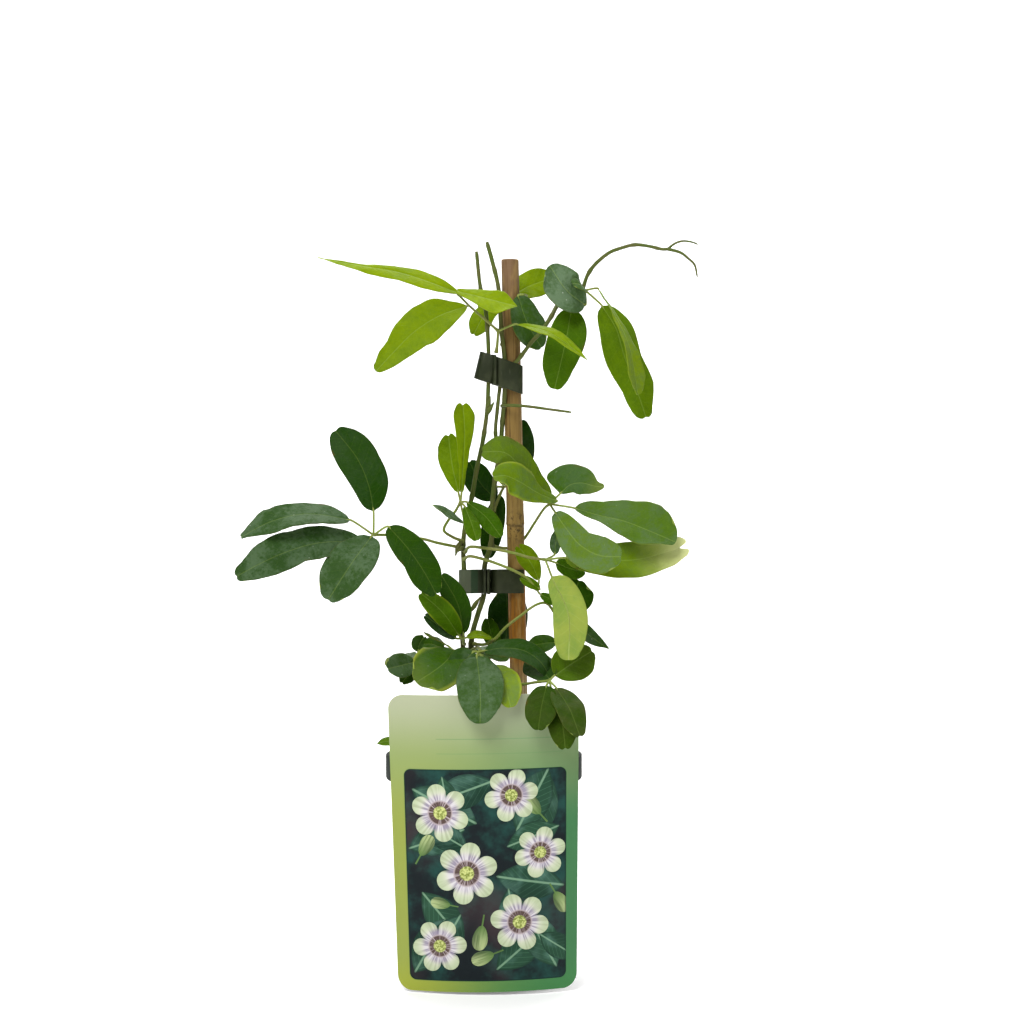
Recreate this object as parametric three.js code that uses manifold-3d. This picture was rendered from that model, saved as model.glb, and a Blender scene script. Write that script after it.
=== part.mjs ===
// A young climbing plant in a round nursery pot: two woody stems and a side shoot tied to a bamboo
// cane with two plastic clips, palmate fronds all round, and a bowed picture card hooked on the rim.
// Millimetres, +Z up, the card faces -Y, and the origin is the centre of the pot's flat base.

import * as THREE from "three";
import { mergeVertices } from "three/addons/utils/BufferGeometryUtils.js";
import Module from "manifold-3d";

const wasm = await Module();
wasm.setup();

// Driving dimensions
const CLEARANCE = 0.35;

const POT_HEIGHT = 107;
const POT_BASE_RADIUS = 33;
const POT_WALL = 1.3;
const POT_BASE_THICKNESS = 1.8;
const RIM_RADIUS = 47.5;
const RIM_HEIGHT = 12.5;
const POT_SHOULDER_RADIUS = 44.6;
const POT_SIDES = 32;
const RIM_WALL = 2.2;
const RIM_LEDGE = 1;
const LIP_ROUND = 0.8;
const DRAIN_HOLE_RADIUS = 3.5;
const DRAIN_HOLE_CIRCLE = 22;
const DRAIN_HOLES = 6;

const SOIL_TOP = 97;
const SOIL_SIDES = POT_SIDES;
const SOIL_EDGE_DROP = 4;
const CRUMB_HEIGHTS = [1.2, 0.8];

const CANE_RADIUS = 4.2;
const CANE_FOOT = [19.5, 9, 12];
const CANE_TIP = [12.6, -2, 346];
const CANE_SIDES = 12;
const CANE_JOINT_HEIGHT = 218;
const CANE_JOINT_REACH = 3;
const CANE_JOINT_SWELL = 0.25;
const CANE_CHAMFER = 0.9;

const CLIP_WALL = 0.9;
const CLIP_HEIGHT = 12;
const FIN_THICKNESS = 1;
const FIN_DEPTH = 5;
const FIN_HEIGHT = 13.6;

const CARD_TOP_WIDTH = 89;
const CARD_BOTTOM_WIDTH = 83;
const CARD_HEIGHT = 138;
const CARD_THICKNESS = 0.6;
const CARD_CORNER = 7;
const CARD_BOW_RADIUS = 95;
const CARD_TILT = THREE.MathUtils.degToRad(0.8);
const TONGUE_WIDTH = 18;
const CARD_LEAN = 0.034;
const CARD_MIDDLE = [1.2, -47.8, 70.4];

const BLADE_THICKNESS = 0.7;
const LEAF_BASE = 0.015;
const POINTED_END = 0.97;
const NOTCHED_END = 0.93;
const STALK_RADIUS = 0.55;
const PETIOLE_RADIUS = 0.65;

// Colours
const POT_BLACK = 0x1d231f;
const PEAT_BROWN = 0x33241a;
const CANE_TAN = 0x9a7446;
const CLIP_GREEN = 0x1f2d25;
const CARD_GREEN = 0x8fae6c;
const STEM_OLIVE = 0x5a6030;
const YOUNG_GREEN = 0x8ea312;
const MID_GREEN = 0x4f7a1c;
const OLD_GREEN = 0x2c5424;
const BLUE_GREEN = 0x5f8a6a;

// Solids and meshes

const at = ([x, y, z]) => new THREE.Vector3(x, y, z);

function solidOf(geometry) {
  const bare = geometry.clone();
  bare.deleteAttribute("normal");
  bare.deleteAttribute("uv");
  const merged = mergeVertices(bare, 1e-4);
  return new wasm.Manifold(new wasm.Mesh({
    numProp: 3,
    vertProperties: new Float32Array(merged.attributes.position.array),
    triVerts: new Uint32Array(merged.index.array),
  }));
}

function geometryOf(solid) {
  const { vertProperties, triVerts } = solid.getMesh();
  const geometry = new THREE.BufferGeometry();
  geometry.setAttribute("position", new THREE.BufferAttribute(vertProperties, 3));
  geometry.setIndex(new THREE.BufferAttribute(triVerts, 1));
  geometry.computeVertexNormals();
  return geometry;
}

function piece(name, solid, color, roughness) {
  const material = new THREE.MeshStandardMaterial({ color, roughness, metalness: 0 });
  const mesh = new THREE.Mesh(geometryOf(solid), material);
  mesh.name = name;
  return mesh;
}

function join(solids) {
  return solids.reduce((whole, solid) => whole.add(solid));
}

// A closed mesh from a list of points and a list of corner triples
function closedMesh(points, corners) {
  const geometry = new THREE.BufferGeometry();
  geometry.setAttribute("position", new THREE.Float32BufferAttribute(points.flatMap((p) => p.toArray()), 3));
  geometry.setIndex(corners.flat());
  return geometry;
}

// A round stem along a smooth path; its radius runs evenly from the first value to the last
function stem(path, startRadius, endRadius, sides = 6, steps = 3 * (path.length - 1)) {
  const curve = new THREE.CatmullRomCurve3(path.map(at));
  const frames = curve.computeFrenetFrames(steps, false);
  const points = [];
  const corners = [];
  for (let i = 0; i <= steps; i += 1) {
    const centre = curve.getPointAt(i / steps);
    const radius = THREE.MathUtils.lerp(startRadius, endRadius, i / steps);
    for (let j = 0; j < sides; j += 1) {
      const angle = (2 * Math.PI * j) / sides;
      points.push(centre.clone()
        .addScaledVector(frames.normals[i], radius * Math.cos(angle))
        .addScaledVector(frames.binormals[i], radius * Math.sin(angle)));
    }
  }
  for (let i = 0; i < steps; i += 1) {
    for (let j = 0; j < sides; j += 1) {
      const a = i * sides + j;
      const b = i * sides + ((j + 1) % sides);
      corners.push([a, b, b + sides], [a, b + sides, a + sides]);
    }
  }
  for (let j = 1; j < sides - 1; j += 1) {
    const last = steps * sides;
    corners.push([0, j + 1, j], [last, last + j, last + j + 1]);
  }
  return solidOf(closedMesh(points, corners));
}

// A thin sheet over a grid of middle points, both faces split into triangles alike
function sheet(grid, thickness) {
  const rows = grid.length;
  const columns = grid[0].length;
  const points = [[], []];
  for (let i = 0; i < rows; i += 1) {
    for (let j = 0; j < columns; j += 1) {
      const along = grid[Math.min(i + 1, rows - 1)][j].clone().sub(grid[Math.max(i - 1, 0)][j]);
      const across = grid[i][Math.min(j + 1, columns - 1)].clone().sub(grid[i][Math.max(j - 1, 0)]);
      const normal = across.cross(along).normalize();
      points[0].push(grid[i][j].clone().addScaledVector(normal, thickness / 2));
      points[1].push(grid[i][j].clone().addScaledVector(normal, -thickness / 2));
    }
  }
  const under = rows * columns;
  const corners = [];
  for (let i = 0; i < rows - 1; i += 1) {
    for (let j = 0; j < columns - 1; j += 1) {
      const a = i * columns + j;
      const b = a + 1;
      const c = a + columns;
      const d = c + 1;
      const halves = j < (columns - 1) / 2 ? [[a, b, d], [a, d, c]] : [[a, b, c], [b, d, c]];
      for (const [p, q, r] of halves) {
        corners.push([p, q, r], [under + p, under + r, under + q]);
      }
    }
  }
  const edge = [];
  for (let j = 0; j < columns; j += 1) edge.push(j);
  for (let i = 1; i < rows; i += 1) edge.push(i * columns + columns - 1);
  for (let j = columns - 2; j >= 0; j -= 1) edge.push((rows - 1) * columns + j);
  for (let i = rows - 2; i > 0; i -= 1) edge.push(i * columns);
  edge.forEach((p, k) => {
    const q = edge[(k + 1) % edge.length];
    corners.push([p, under + p, under + q], [p, under + q, q]);
  });
  return solidOf(closedMesh(points.flat(), corners));
}

// One leaflet: a blade about a curved rib. `faces` is the way its upper side looks, `fold` lifts the
// edges into a shallow V, `curl` drops them again, and a notched tip has a short lobe on each side.
function leaflet({
  rib, width, faces, fold = 0.15, curl = 0.6, notch = 1, pointed = false, widest = 1, fullness = 0.5,
}) {
  const curve = new THREE.CatmullRomCurve3(rib.map(at));
  const length = curve.getLength();
  const rows = Math.max(3, Math.min(5, Math.round(length / 11) + 2));
  const columns = width > 11 ? 4 : 2;
  const end = pointed ? POINTED_END : NOTCHED_END;
  const up = at(faces).normalize();
  const grid = [];
  for (let i = 0; i <= rows; i += 1) {
    const t = 0.5 * (i / rows) + 0.25 * (1 - Math.cos((Math.PI * i) / rows));
    const centre = curve.getPointAt(t);
    const tangent = curve.getTangentAt(t);
    const side = tangent.clone().cross(up).normalize();
    const normal = side.clone().cross(tangent).normalize();
    const round = THREE.MathUtils.lerp(LEAF_BASE, end, t ** widest);
    const half = (width / 2) * Math.sin(Math.PI * round) ** fullness;
    const lobes = pointed ? 0 : notch * t ** 6;
    const row = [];
    for (let j = -columns / 2; j <= columns / 2; j += 1) {
      const across = j / (columns / 2);
      const reach = Math.abs(across);
      const lift = fold * half * reach - curl * reach ** 2 * Math.sin(Math.PI * t);
      const forward = lobes * (reach === 1 ? -1.2 : 2 * reach);
      row.push(centre.clone()
        .addScaledVector(side, half * across)
        .addScaledVector(normal, lift)
        .addScaledVector(tangent, forward));
    }
    grid.push(row);
  }
  return sheet(grid, BLADE_THICKNESS);
}

// The short stalk from the hub into the first part of a leaflet's rib
function leafletStalk(from, rib) {
  const curve = new THREE.CatmullRomCurve3(rib.map(at));
  const root = curve.getPointAt(0).toArray();
  const sunk = curve.getPointAt(0.12).toArray();
  return stem([from, root, sunk], STALK_RADIUS, STALK_RADIUS * 0.8, 4, 2);
}

// A frond: a petiole that ends in a hub, and the leaflets spread from it
function frond({ petiole, leaflets, rachis = [], radius = PETIOLE_RADIUS }) {
  const hub = petiole[petiole.length - 1];
  const parts = [stem(petiole, radius * 1.2, radius, 4, 2 * (petiole.length - 1))];
  rachis.forEach((path) => parts.push(stem(path, radius, STALK_RADIUS, 4, path.length - 1)));
  leaflets.forEach((leaf) => {
    parts.push(leafletStalk(leaf.from ?? hub, leaf.rib));
    parts.push(leaflet(leaf));
  });
  return join(parts);
}

// Pot

function makePot() {
  const shoulder = POT_HEIGHT - RIM_HEIGHT;
  const innerShoulder = POT_SHOULDER_RADIUS - POT_WALL;
  const lip = POT_HEIGHT - LIP_ROUND;
  const profile = [
    [0, 0],
    [POT_BASE_RADIUS - LIP_ROUND, 0],
    [POT_BASE_RADIUS, LIP_ROUND],
    [POT_SHOULDER_RADIUS, shoulder],
    [RIM_RADIUS, shoulder + RIM_LEDGE],
    [RIM_RADIUS, lip],
    [RIM_RADIUS - LIP_ROUND, POT_HEIGHT],
    [RIM_RADIUS - RIM_WALL + LIP_ROUND / 2, POT_HEIGHT],
    [RIM_RADIUS - RIM_WALL, lip],
    [RIM_RADIUS - RIM_WALL, shoulder + 2 * RIM_LEDGE],
    [innerShoulder, shoulder + RIM_LEDGE],
    [POT_BASE_RADIUS - POT_WALL, POT_BASE_THICKNESS],
    [0, POT_BASE_THICKNESS],
  ].map(([radius, height]) => new THREE.Vector2(radius, height));
  const lathe = new THREE.LatheGeometry(profile, POT_SIDES).rotateX(Math.PI / 2);
  let pot = solidOf(lathe);
  for (let k = 0; k < DRAIN_HOLES; k += 1) {
    const angle = (2 * Math.PI * (k + 0.5)) / DRAIN_HOLES;
    const x = DRAIN_HOLE_CIRCLE * Math.cos(angle);
    const y = DRAIN_HOLE_CIRCLE * Math.sin(angle);
    const depth = 3 * POT_BASE_THICKNESS;
    const drill = new THREE.CylinderGeometry(DRAIN_HOLE_RADIUS, DRAIN_HOLE_RADIUS, depth, 10);
    pot = pot.subtract(solidOf(drill.rotateX(Math.PI / 2).translate(x, y, POT_BASE_THICKNESS / 2)));
  }
  return pot;
}

// Cane

function caneAt(z) {
  const share = (z - CANE_FOOT[2]) / (CANE_TIP[2] - CANE_FOOT[2]);
  return at(CANE_FOOT).lerp(at(CANE_TIP), share);
}

function cane(radius) {
  const rings = [
    [CANE_FOOT[2] + CANE_RADIUS - radius, 0],
    [CANE_JOINT_HEIGHT - CANE_JOINT_REACH, 0],
    [CANE_JOINT_HEIGHT, CANE_JOINT_SWELL],
    [CANE_JOINT_HEIGHT + CANE_JOINT_REACH, 0],
    [CANE_TIP[2] - CANE_CHAMFER, 0],
    [CANE_TIP[2], -CANE_CHAMFER],
  ];
  const sides = CANE_SIDES;
  const points = [];
  const corners = [];
  rings.forEach(([z, swell]) => {
    const centre = caneAt(z);
    for (let j = 0; j < sides; j += 1) {
      const angle = (2 * Math.PI * j) / sides;
      const r = radius + swell;
      points.push(new THREE.Vector3(centre.x + r * Math.cos(angle), centre.y + r * Math.sin(angle), z));
    }
  });
  for (let i = 0; i < rings.length - 1; i += 1) {
    for (let j = 0; j < sides; j += 1) {
      const a = i * sides + j;
      const b = i * sides + ((j + 1) % sides);
      corners.push([a, b, b + sides], [a, b + sides, a + sides]);
    }
  }
  for (let j = 1; j < sides - 1; j += 1) {
    const last = (rings.length - 1) * sides;
    corners.push([0, j + 1, j], [last, last + j, last + j + 1]);
  }
  return solidOf(closedMesh(points, corners));
}

// Stems. Each path runs from deep in the soil to its tip.

const LEFT_STEM = [
  [-12, -2, 66], [-12, -4, 100], [-11, -6, 130], [-10, -5, 154], [-10.5, -6, 171], [-9.6, -4.5, 184],
  [-9.6, -4, 196], [-10, -4, 208], [-8.5, -4, 220], [-6, -4, 230], [-3.5, -4, 244], [-0.5, -4, 258],
  [1.6, -5.4, 273], [2.2, -6.4, 285], [2.4, -6.8, 297], [1, -8, 320], [-1.5, -8, 331], [-3.5, -8, 349],
];

const MIDDLE_STEM = [
  [-4, 5, 66], [-6, 3, 100], [-7.5, -1, 130], [-6.4, -2, 156], [-5.5, -2, 165], [-3, -1, 174],
  [0, 1, 184], [0.4, 1.2, 198], [3.4, 3, 208], [4, 3, 227], [5.5, 3, 240], [8, 2, 256],
  [9, -1, 268], [10, -4.4, 281], [10, -5, 297], [8.4, -6, 312], [7, -6, 332], [4, -5, 345], [1.5, -4, 354],
];

const RIGHT_BRANCH = [
  [7.2, 2.4, 250], [5.6, -1.5, 262], [6.4, -4.6, 272], [7.5, -5, 282], [7.8, -5, 291], [8.7, -5.8, 298.5],
  [12.6, -8.8, 300.5], [17, -9, 301], [21.5, -7.5, 303.5], [27, -5, 309], [32.5, -2, 318],
  [36.5, 0, 325], [42.5, 1, 329], [48, 0, 332],
];

const TOP_SHOOT = [
  [48, 0, 332], [50, -1, 338], [52.5, -2, 342], [56, -4, 345.5], [61, -6, 349], [65.5, -8, 350.5],
  [72.5, -10, 352], [79.5, -12, 351], [85.5, -13, 349.5], [89, -14, 349.5],
];

const UPPER_FORK = [
  [88, -14, 349.5], [91.5, -15, 352], [95, -16, 353], [99.5, -16, 352.5], [102.5, -15, 351.5],
];

const LOWER_FORK = [
  [88, -14, 349.5], [94, -16, 347.5], [97.5, -18, 344.5], [100.5, -18, 341.5], [102, -17, 335.5],
];

const BARE_STALK = [[8.6, -3, 275], [12, -8.5, 275], [20, -10.5, 274.5], [31, -11.5, 273], [42, -12, 271.5]];

// The same path begun a little deeper, for the hole that a stem stands in
function deeper([[x, y, z], ...rest], extra) {
  return [[x, y, z - extra], ...rest];
}

function leftStem(extra = 0) {
  return stem(deeper(LEFT_STEM, extra), 1.45 + extra, 0.75 + extra, 5, 26);
}

function middleStem(extra = 0) {
  return join([
    stem(deeper(MIDDLE_STEM, extra), 1.4 + extra, 0.9 + extra, 5, 28),
    stem(RIGHT_BRANCH, 1 + extra, 0.95 + extra, 5, 16),
    stem(TOP_SHOOT, 0.95 + extra, 0.6 + extra, 4, 10),
    stem(UPPER_FORK, 0.55 + extra, 0.4 + extra, 4, 5),
    stem(LOWER_FORK, 0.6 + extra, 0.4 + extra, 4, 6),
    stem(BARE_STALK, 0.65 + extra, 0.4 + extra, 4, 7),
  ]);
}

// Soil: a plug that fills the pot to just below the rim, lower at its edge, with a crumbly top and
// plain holes for the stems, the cane and the card's tongue

function makeSoil(holes) {
  const rings = [0, 0.4, 0.8, 1];
  const topRadius = POT_SHOULDER_RADIUS - POT_WALL - 2 * CLEARANCE;
  const bottomRadius = POT_BASE_RADIUS - POT_WALL - CLEARANCE;
  const bottom = POT_BASE_THICKNESS + CLEARANCE;
  const points = [new THREE.Vector3(0, 0, SOIL_TOP), new THREE.Vector3(0, 0, bottom)];
  const corners = [];
  const first = (ring) => 2 + ring * SOIL_SIDES;
  for (let ring = 1; ring < rings.length; ring += 1) {
    for (let j = 0; j < SOIL_SIDES; j += 1) {
      const angle = (2 * Math.PI * j) / SOIL_SIDES;
      const edge = ring === rings.length - 1;
      const crumbs = CRUMB_HEIGHTS[0] * Math.sin(3 * angle + 2 * ring)
        + CRUMB_HEIGHTS[1] * Math.cos(7 * angle - ring);
      const height = edge ? SOIL_TOP - SOIL_EDGE_DROP : SOIL_TOP + crumbs;
      points.push(new THREE.Vector3(
        topRadius * rings[ring] * Math.cos(angle), topRadius * rings[ring] * Math.sin(angle), height));
    }
  }
  for (let j = 0; j < SOIL_SIDES; j += 1) {
    const angle = (2 * Math.PI * j) / SOIL_SIDES;
    points.push(new THREE.Vector3(bottomRadius * Math.cos(angle), bottomRadius * Math.sin(angle), bottom));
  }
  for (let j = 0; j < SOIL_SIDES; j += 1) {
    const k = (j + 1) % SOIL_SIDES;
    corners.push([0, first(0) + j, first(0) + k]);
    for (let ring = 0; ring < rings.length - 1; ring += 1) {
      const a = first(ring) + j;
      const b = first(ring) + k;
      corners.push([a, a + SOIL_SIDES, b + SOIL_SIDES], [a, b + SOIL_SIDES, b]);
    }
    corners.push([1, first(rings.length - 1) + k, first(rings.length - 1) + j]);
  }
  return holes.reduce((soil, hole) => soil.subtract(hole), solidOf(closedMesh(points, corners)));
}

// Clips: an open jaw round the cane, a closed loop round the stems, and fins at the hinge

// The outline round two circles, each [x, y, radius], with straight sides
function capsule([ax, ay, ar], [bx, by, br], grow) {
  const heading = Math.atan2(by - ay, bx - ax);
  const spread = Math.acos((ar - br) / Math.hypot(bx - ax, by - ay));
  const outline = [];
  const steps = 8;
  for (let k = 0; k <= steps; k += 1) {
    const angle = heading + spread + ((2 * Math.PI - 2 * spread) * k) / steps;
    outline.push(new THREE.Vector2(ax + (ar + grow) * Math.cos(angle), ay + (ar + grow) * Math.sin(angle)));
  }
  for (let k = 0; k <= steps; k += 1) {
    const angle = heading - spread + (2 * spread * k) / steps;
    outline.push(new THREE.Vector2(bx + (br + grow) * Math.cos(angle), by + (br + grow) * Math.sin(angle)));
  }
  return outline;
}

function loop(a, b, height) {
  const shape = new THREE.Shape(capsule(a, b, 0));
  shape.holes.push(new THREE.Path(capsule(a, b, -CLIP_WALL)));
  return solidOf(new THREE.ExtrudeGeometry(shape, { depth: height, bevelEnabled: false }));
}

function block(x, y, z, width, depth, height) {
  return solidOf(new THREE.BoxGeometry(width, depth, height).translate(x, y, z));
}

function makeClip({ base, jaw, stemLoop, mouth, fins, slope }) {
  const parts = [loop(...jaw, CLIP_HEIGHT), loop(...stemLoop, CLIP_HEIGHT)];
  fins.forEach(([x, y, lean]) => {
    const fin = new THREE.BoxGeometry(FIN_THICKNESS, FIN_DEPTH, FIN_HEIGHT).rotateZ(lean);
    parts.push(solidOf(fin.translate(x, y, CLIP_HEIGHT / 2)));
  });
  const opening = block(mouth[0], mouth[1], CLIP_HEIGHT / 2, mouth[2], mouth[3], 2 * CLIP_HEIGHT);
  const clip = join(parts).subtract(opening);
  const shear = new THREE.Matrix4().set(1, 0, 0, 0, 0, 1, 0, 0, -slope, 0, 1, base, 0, 0, 0, 1);
  return solidOf(geometryOf(clip).applyMatrix4(shear));
}

const LOWER_CLIP = {
  base: 184.2,
  jaw: [[7.4, 0.2, 4.3], [15.8, 3.1, 5.75]],
  stemLoop: [[-8.8, -3.9, 3.4], [-0.2, 0.6, 4.1]],
  mouth: [20.6, 7.6, 6, 8],
  fins: [[0.2, -5.4, 0.12], [2.4, -5, -0.12]],
  slope: 0,
};

const UPPER_CLIP = {
  base: 287.5,
  jaw: [[8.6, -4.6, 4.3], [13.85, -0.1, 5.75]],
  stemLoop: [[0, -6.4, 3.3], [2.6, -6.6, 3.3]],
  mouth: [18.6, 4.6, 6, 8],
  fins: [[4.9, -10.4, 0.3]],
  slope: 0.33,
};

// Picture card: one thin plastic sheet with round corners, bowed about an upright axis, and a
// tongue on its back that hooks over the rim and goes down beside the soil

function cardPoint(across, up) {
  const bow = across ** 2 / (2 * CARD_BOW_RADIUS);
  const x = across * Math.cos(CARD_TILT) - up * Math.sin(CARD_TILT);
  const z = across * Math.sin(CARD_TILT) + up * Math.cos(CARD_TILT);
  return at(CARD_MIDDLE).add(new THREE.Vector3(x, bow - CARD_LEAN * up, z));
}

function makeCard() {
  const stations = [-1, -0.97, -0.9, -0.84, -0.6, -0.3, 0, 0.3, 0.6, 0.84, 0.9, 0.97, 1];
  const rows = [-1, 0, 1];
  const grid = rows.map((row) => stations.map((station) => {
    const inset = Math.max(0, CARD_CORNER - (1 - Math.abs(station)) * (CARD_TOP_WIDTH / 2));
    const corner = CARD_CORNER - Math.sqrt(CARD_CORNER ** 2 - inset ** 2);
    const up = row * (CARD_HEIGHT / 2 - corner);
    const width = THREE.MathUtils.lerp(CARD_BOTTOM_WIDTH, CARD_TOP_WIDTH, 0.5 + up / CARD_HEIGHT);
    return cardPoint((station * width) / 2, up);
  }));
  return sheet(grid, CARD_THICKNESS).add(tongue(0));
}

const TONGUE_PATH = [
  [-50, 131], [-49.4, 122], [-48.4, 114], [-46, 110.2],
  [-42.6, 108], [-41, 103], [-40.3, 92], [-39.2, 76],
];

function tongue(extra) {
  const edges = [-0.5, 0.5].map((side) => side * (TONGUE_WIDTH + 2 * extra));
  const last = TONGUE_PATH.length - 1;
  const path = TONGUE_PATH.map(([y, z], k) => new THREE.Vector2(y, k === last ? z - extra : z));
  const grid = path.map((p) => edges.map((x) => new THREE.Vector3(x, p.x, p.y)));
  return sheet(grid, CARD_THICKNESS + 2 * extra);
}

// Fronds. Each names its petiole from the stem to the hub, and a rib, width and facing a leaflet.

const FRONDS = {
  frond_top_left: {
    color: YOUNG_GREEN,
    petiole: [[6, -7.5, 300.5], [6.5, -9.5, 304], [7, -11, 310.5]],
    rachis: [[[7, -11, 310.5], [0, -13, 316.5], [-6.5, -14, 322], [-12.5, -15, 328]]],
    leaflets: [
      {
        from: [-12.5, -15, 328],
        rib: [[-11, -15.5, 328], [-37.5, -20, 337], [-61, -22, 341], [-78.5, -20, 344.5]],
        width: 18, faces: [-0.05, -0.4, 0.92], fold: 0.25, pointed: true, widest: 0.75, fullness: 0.9,
      },
      {
        from: [-12.5, -15, 328], rib: [[-17, -15, 330.5], [0, -19.5, 326.5], [14.5, -20, 322.5]],
        width: 14, faces: [0, -0.5, 0.87], pointed: true,
      },
      {
        from: [-6.5, -14, 322], rib: [[-6.5, -17, 321], [-22.5, -28, 311], [-49, -36, 288]],
        width: 20, faces: [-0.15, -0.9, 0.35], widest: 1.1, fullness: 0.7, notch: 0.3,
      },
      {
        rib: [[15.5, -15, 313.5], [31.5, -25, 308.5], [49, -33, 295]],
        width: 11, faces: [0.3, -0.2, 0.92], fold: 0.4, pointed: true, fullness: 0.9,
      },
    ],
  },
  frond_top_back: {
    color: MID_GREEN,
    petiole: [[8.8, -4, 304.5], [9.5, 3, 312], [9.5, 8, 318], [11, 11, 326]],
    leaflets: [
      {
        rib: [[6.5, 11.5, 325], [-0.5, 14, 319.5], [-5.5, 14, 310.5]],
        width: 11.5, faces: [-0.1, -0.95, 0.3],
      },
      { rib: [[13.5, 13, 329], [23.5, 19, 334.5], [36, 22, 338.5]], width: 15.5, faces: [0, -0.9, 0.4] },
      {
        rib: [[17.5, 13, 328], [22.5, 17, 316.5], [30, 18, 302.5]],
        width: 16.5, faces: [-0.2, -0.95, 0.1],
      },
      { rib: [[10, 15, 327.5], [6, 32, 331], [2, 50, 322]], width: 17, faces: [-0.2, 0.25, 0.95] },
    ],
  },
  frond_top_right: {
    color: MID_GREEN,
    petiole: [[46.5, 0.5, 331.3], [49, -2.5, 331]],
    leaflets: [
      { rib: [[50.5, -5, 321.5], [39.5, -13, 329.5], [31, -15, 341]], width: 17, faces: [0.1, -0.95, 0.3] },
      { rib: [[49.5, -7, 333], [46, -15, 336], [41, -19, 336.5]], width: 8, faces: [0.2, -0.8, 0.5] },
      { rib: [[42.5, -3, 322], [39, -9, 304], [34, -9, 282.5]], width: 19, faces: [0.12, -0.98, 0.1] },
      {
        rib: [[55, -6, 331.5], [64, -18, 317.5], [71.5, -26, 298], [72.5, -27, 278]],
        width: 12, faces: [0.75, -0.6, 0.25], fold: 0.3,
      },
      { rib: [[56, -3, 324.5], [67, -8, 301.5], [77.5, -12, 268]], width: 19.5, faces: [0.1, -0.98, 0.12] },
    ],
  },
  frond_left: {
    color: OLD_GREEN,
    petiole: [[-11, -5, 206.5], [-22, -16, 209], [-29, -24, 211], [-46, -36, 213], [-51, -38, 213]],
    leaflets: [
      {
        rib: [[-51, -38, 224], [-57, -36, 243.5], [-71.5, -26, 263.5]],
        width: 20, faces: [0.2, -0.97, -0.1],
      },
      {
        rib: [[-61, -42, 219], [-85.5, -50, 224], [-112, -50, 212]],
        width: 17, faces: [-0.05, -0.62, 0.78],
      },
      {
        rib: [[-58, -42, 212], [-84, -56, 205.5], [-112.5, -60, 194]],
        width: 18.5, faces: [-0.1, -0.85, 0.5],
      },
      {
        rib: [[-52.5, -44, 211], [-61.5, -57, 198.5], [-70.5, -60, 183]],
        width: 22, faces: [-0.15, -0.9, 0.4],
      },
      { rib: [[-45, -40, 217], [-33, -44, 205], [-21.5, -40, 185]], width: 17, faces: [0.25, -0.93, 0.25] },
    ],
  },
  frond_mid_left: {
    color: YOUNG_GREEN,
    petiole: [
      [-10, -5.5, 209.5], [-15.5, -9.5, 212], [-19, -13, 215], [-17, -14, 219.5],
      [-13.5, -15, 224], [-11, -15.5, 228.5],
    ],
    leaflets: [
      {
        rib: [[-10.5, -16, 235.5], [-9.5, -20, 253], [-10.5, -17, 275]],
        width: 12.5, faces: [0.5, -0.85, 0], widest: 1.7,
      },
      {
        rib: [[-12, -14, 233], [-15, -12, 245.5], [-17.5, -8, 259]],
        width: 12.5, faces: [-0.45, -0.88, 0.1], widest: 1.4,
      },
      {
        rib: [[-7, -17, 227], [1.5, -22, 221.5], [9.5, -22, 213]],
        width: 11.5, faces: [-0.2, -0.85, 0.45],
      },
      { rib: [[-8.5, -18, 225.5], [-5, -25, 218], [-3, -28, 210]], width: 9, faces: [0.2, -0.95, 0.2] },
      { rib: [[-10.5, -16, 220], [-17, -22, 223], [-24.5, -26, 226.5]], width: 9, faces: [0, 0.5, 0.85] },
    ],
  },
  frond_mid_back: {
    color: OLD_GREEN,
    petiole: [[4.5, 3.5, 224], [7.5, 8, 231.5], [9.5, 11, 236]],
    leaflets: [
      { rib: [[5.5, 10.5, 230], [-2, 13, 238], [-7.5, 13, 249]], width: 14, faces: [-0.2, -0.95, 0.2] },
      { rib: [[15, 13, 241], [19.5, 17, 254.5], [21, 16, 269.5]], width: 14, faces: [0.1, -0.98, 0.1] },
      { rib: [[11, 15, 237], [14, 34, 241], [13, 55, 235]], width: 18, faces: [0.15, 0.2, 0.97] },
      { rib: [[6, 14, 236], [-2, 28, 235], [-10, 40, 228]], width: 15, faces: [-0.2, 0.5, 0.85] },
    ],
  },
  frond_right: {
    color: MID_GREEN,
    petiole: [
      [4.4, 4, 207], [10, 9.8, 206], [16, 10.5, 207.5], [20.4, 6, 210.5], [23.5, -6, 217.5],
      [29.5, -19, 226], [31.5, -21, 227.5],
    ],
    leaflets: [
      { rib: [[34.5, -22, 231], [17.5, -28, 247], [-1.5, -27, 252]], width: 16, faces: [0.2, -0.8, 0.55] },
      { rib: [[35, -26, 229], [18.5, -38, 237], [4, -43, 242]], width: 15, faces: [-0.15, -0.85, 0.5] },
      { rib: [[35.5, -23, 232.5], [45, -20, 239], [57.5, -20, 236]], width: 14, faces: [0, -0.85, 0.5] },
      {
        rib: [[42, -23, 226], [68, -34, 221.5], [91, -38, 216.5]],
        width: 21, faces: [-0.1, -0.78, 0.6], fold: 0.3, widest: 1.1,
      },
      {
        rib: [[34, -25, 224], [47.5, -42, 211], [62, -50, 203]],
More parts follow.
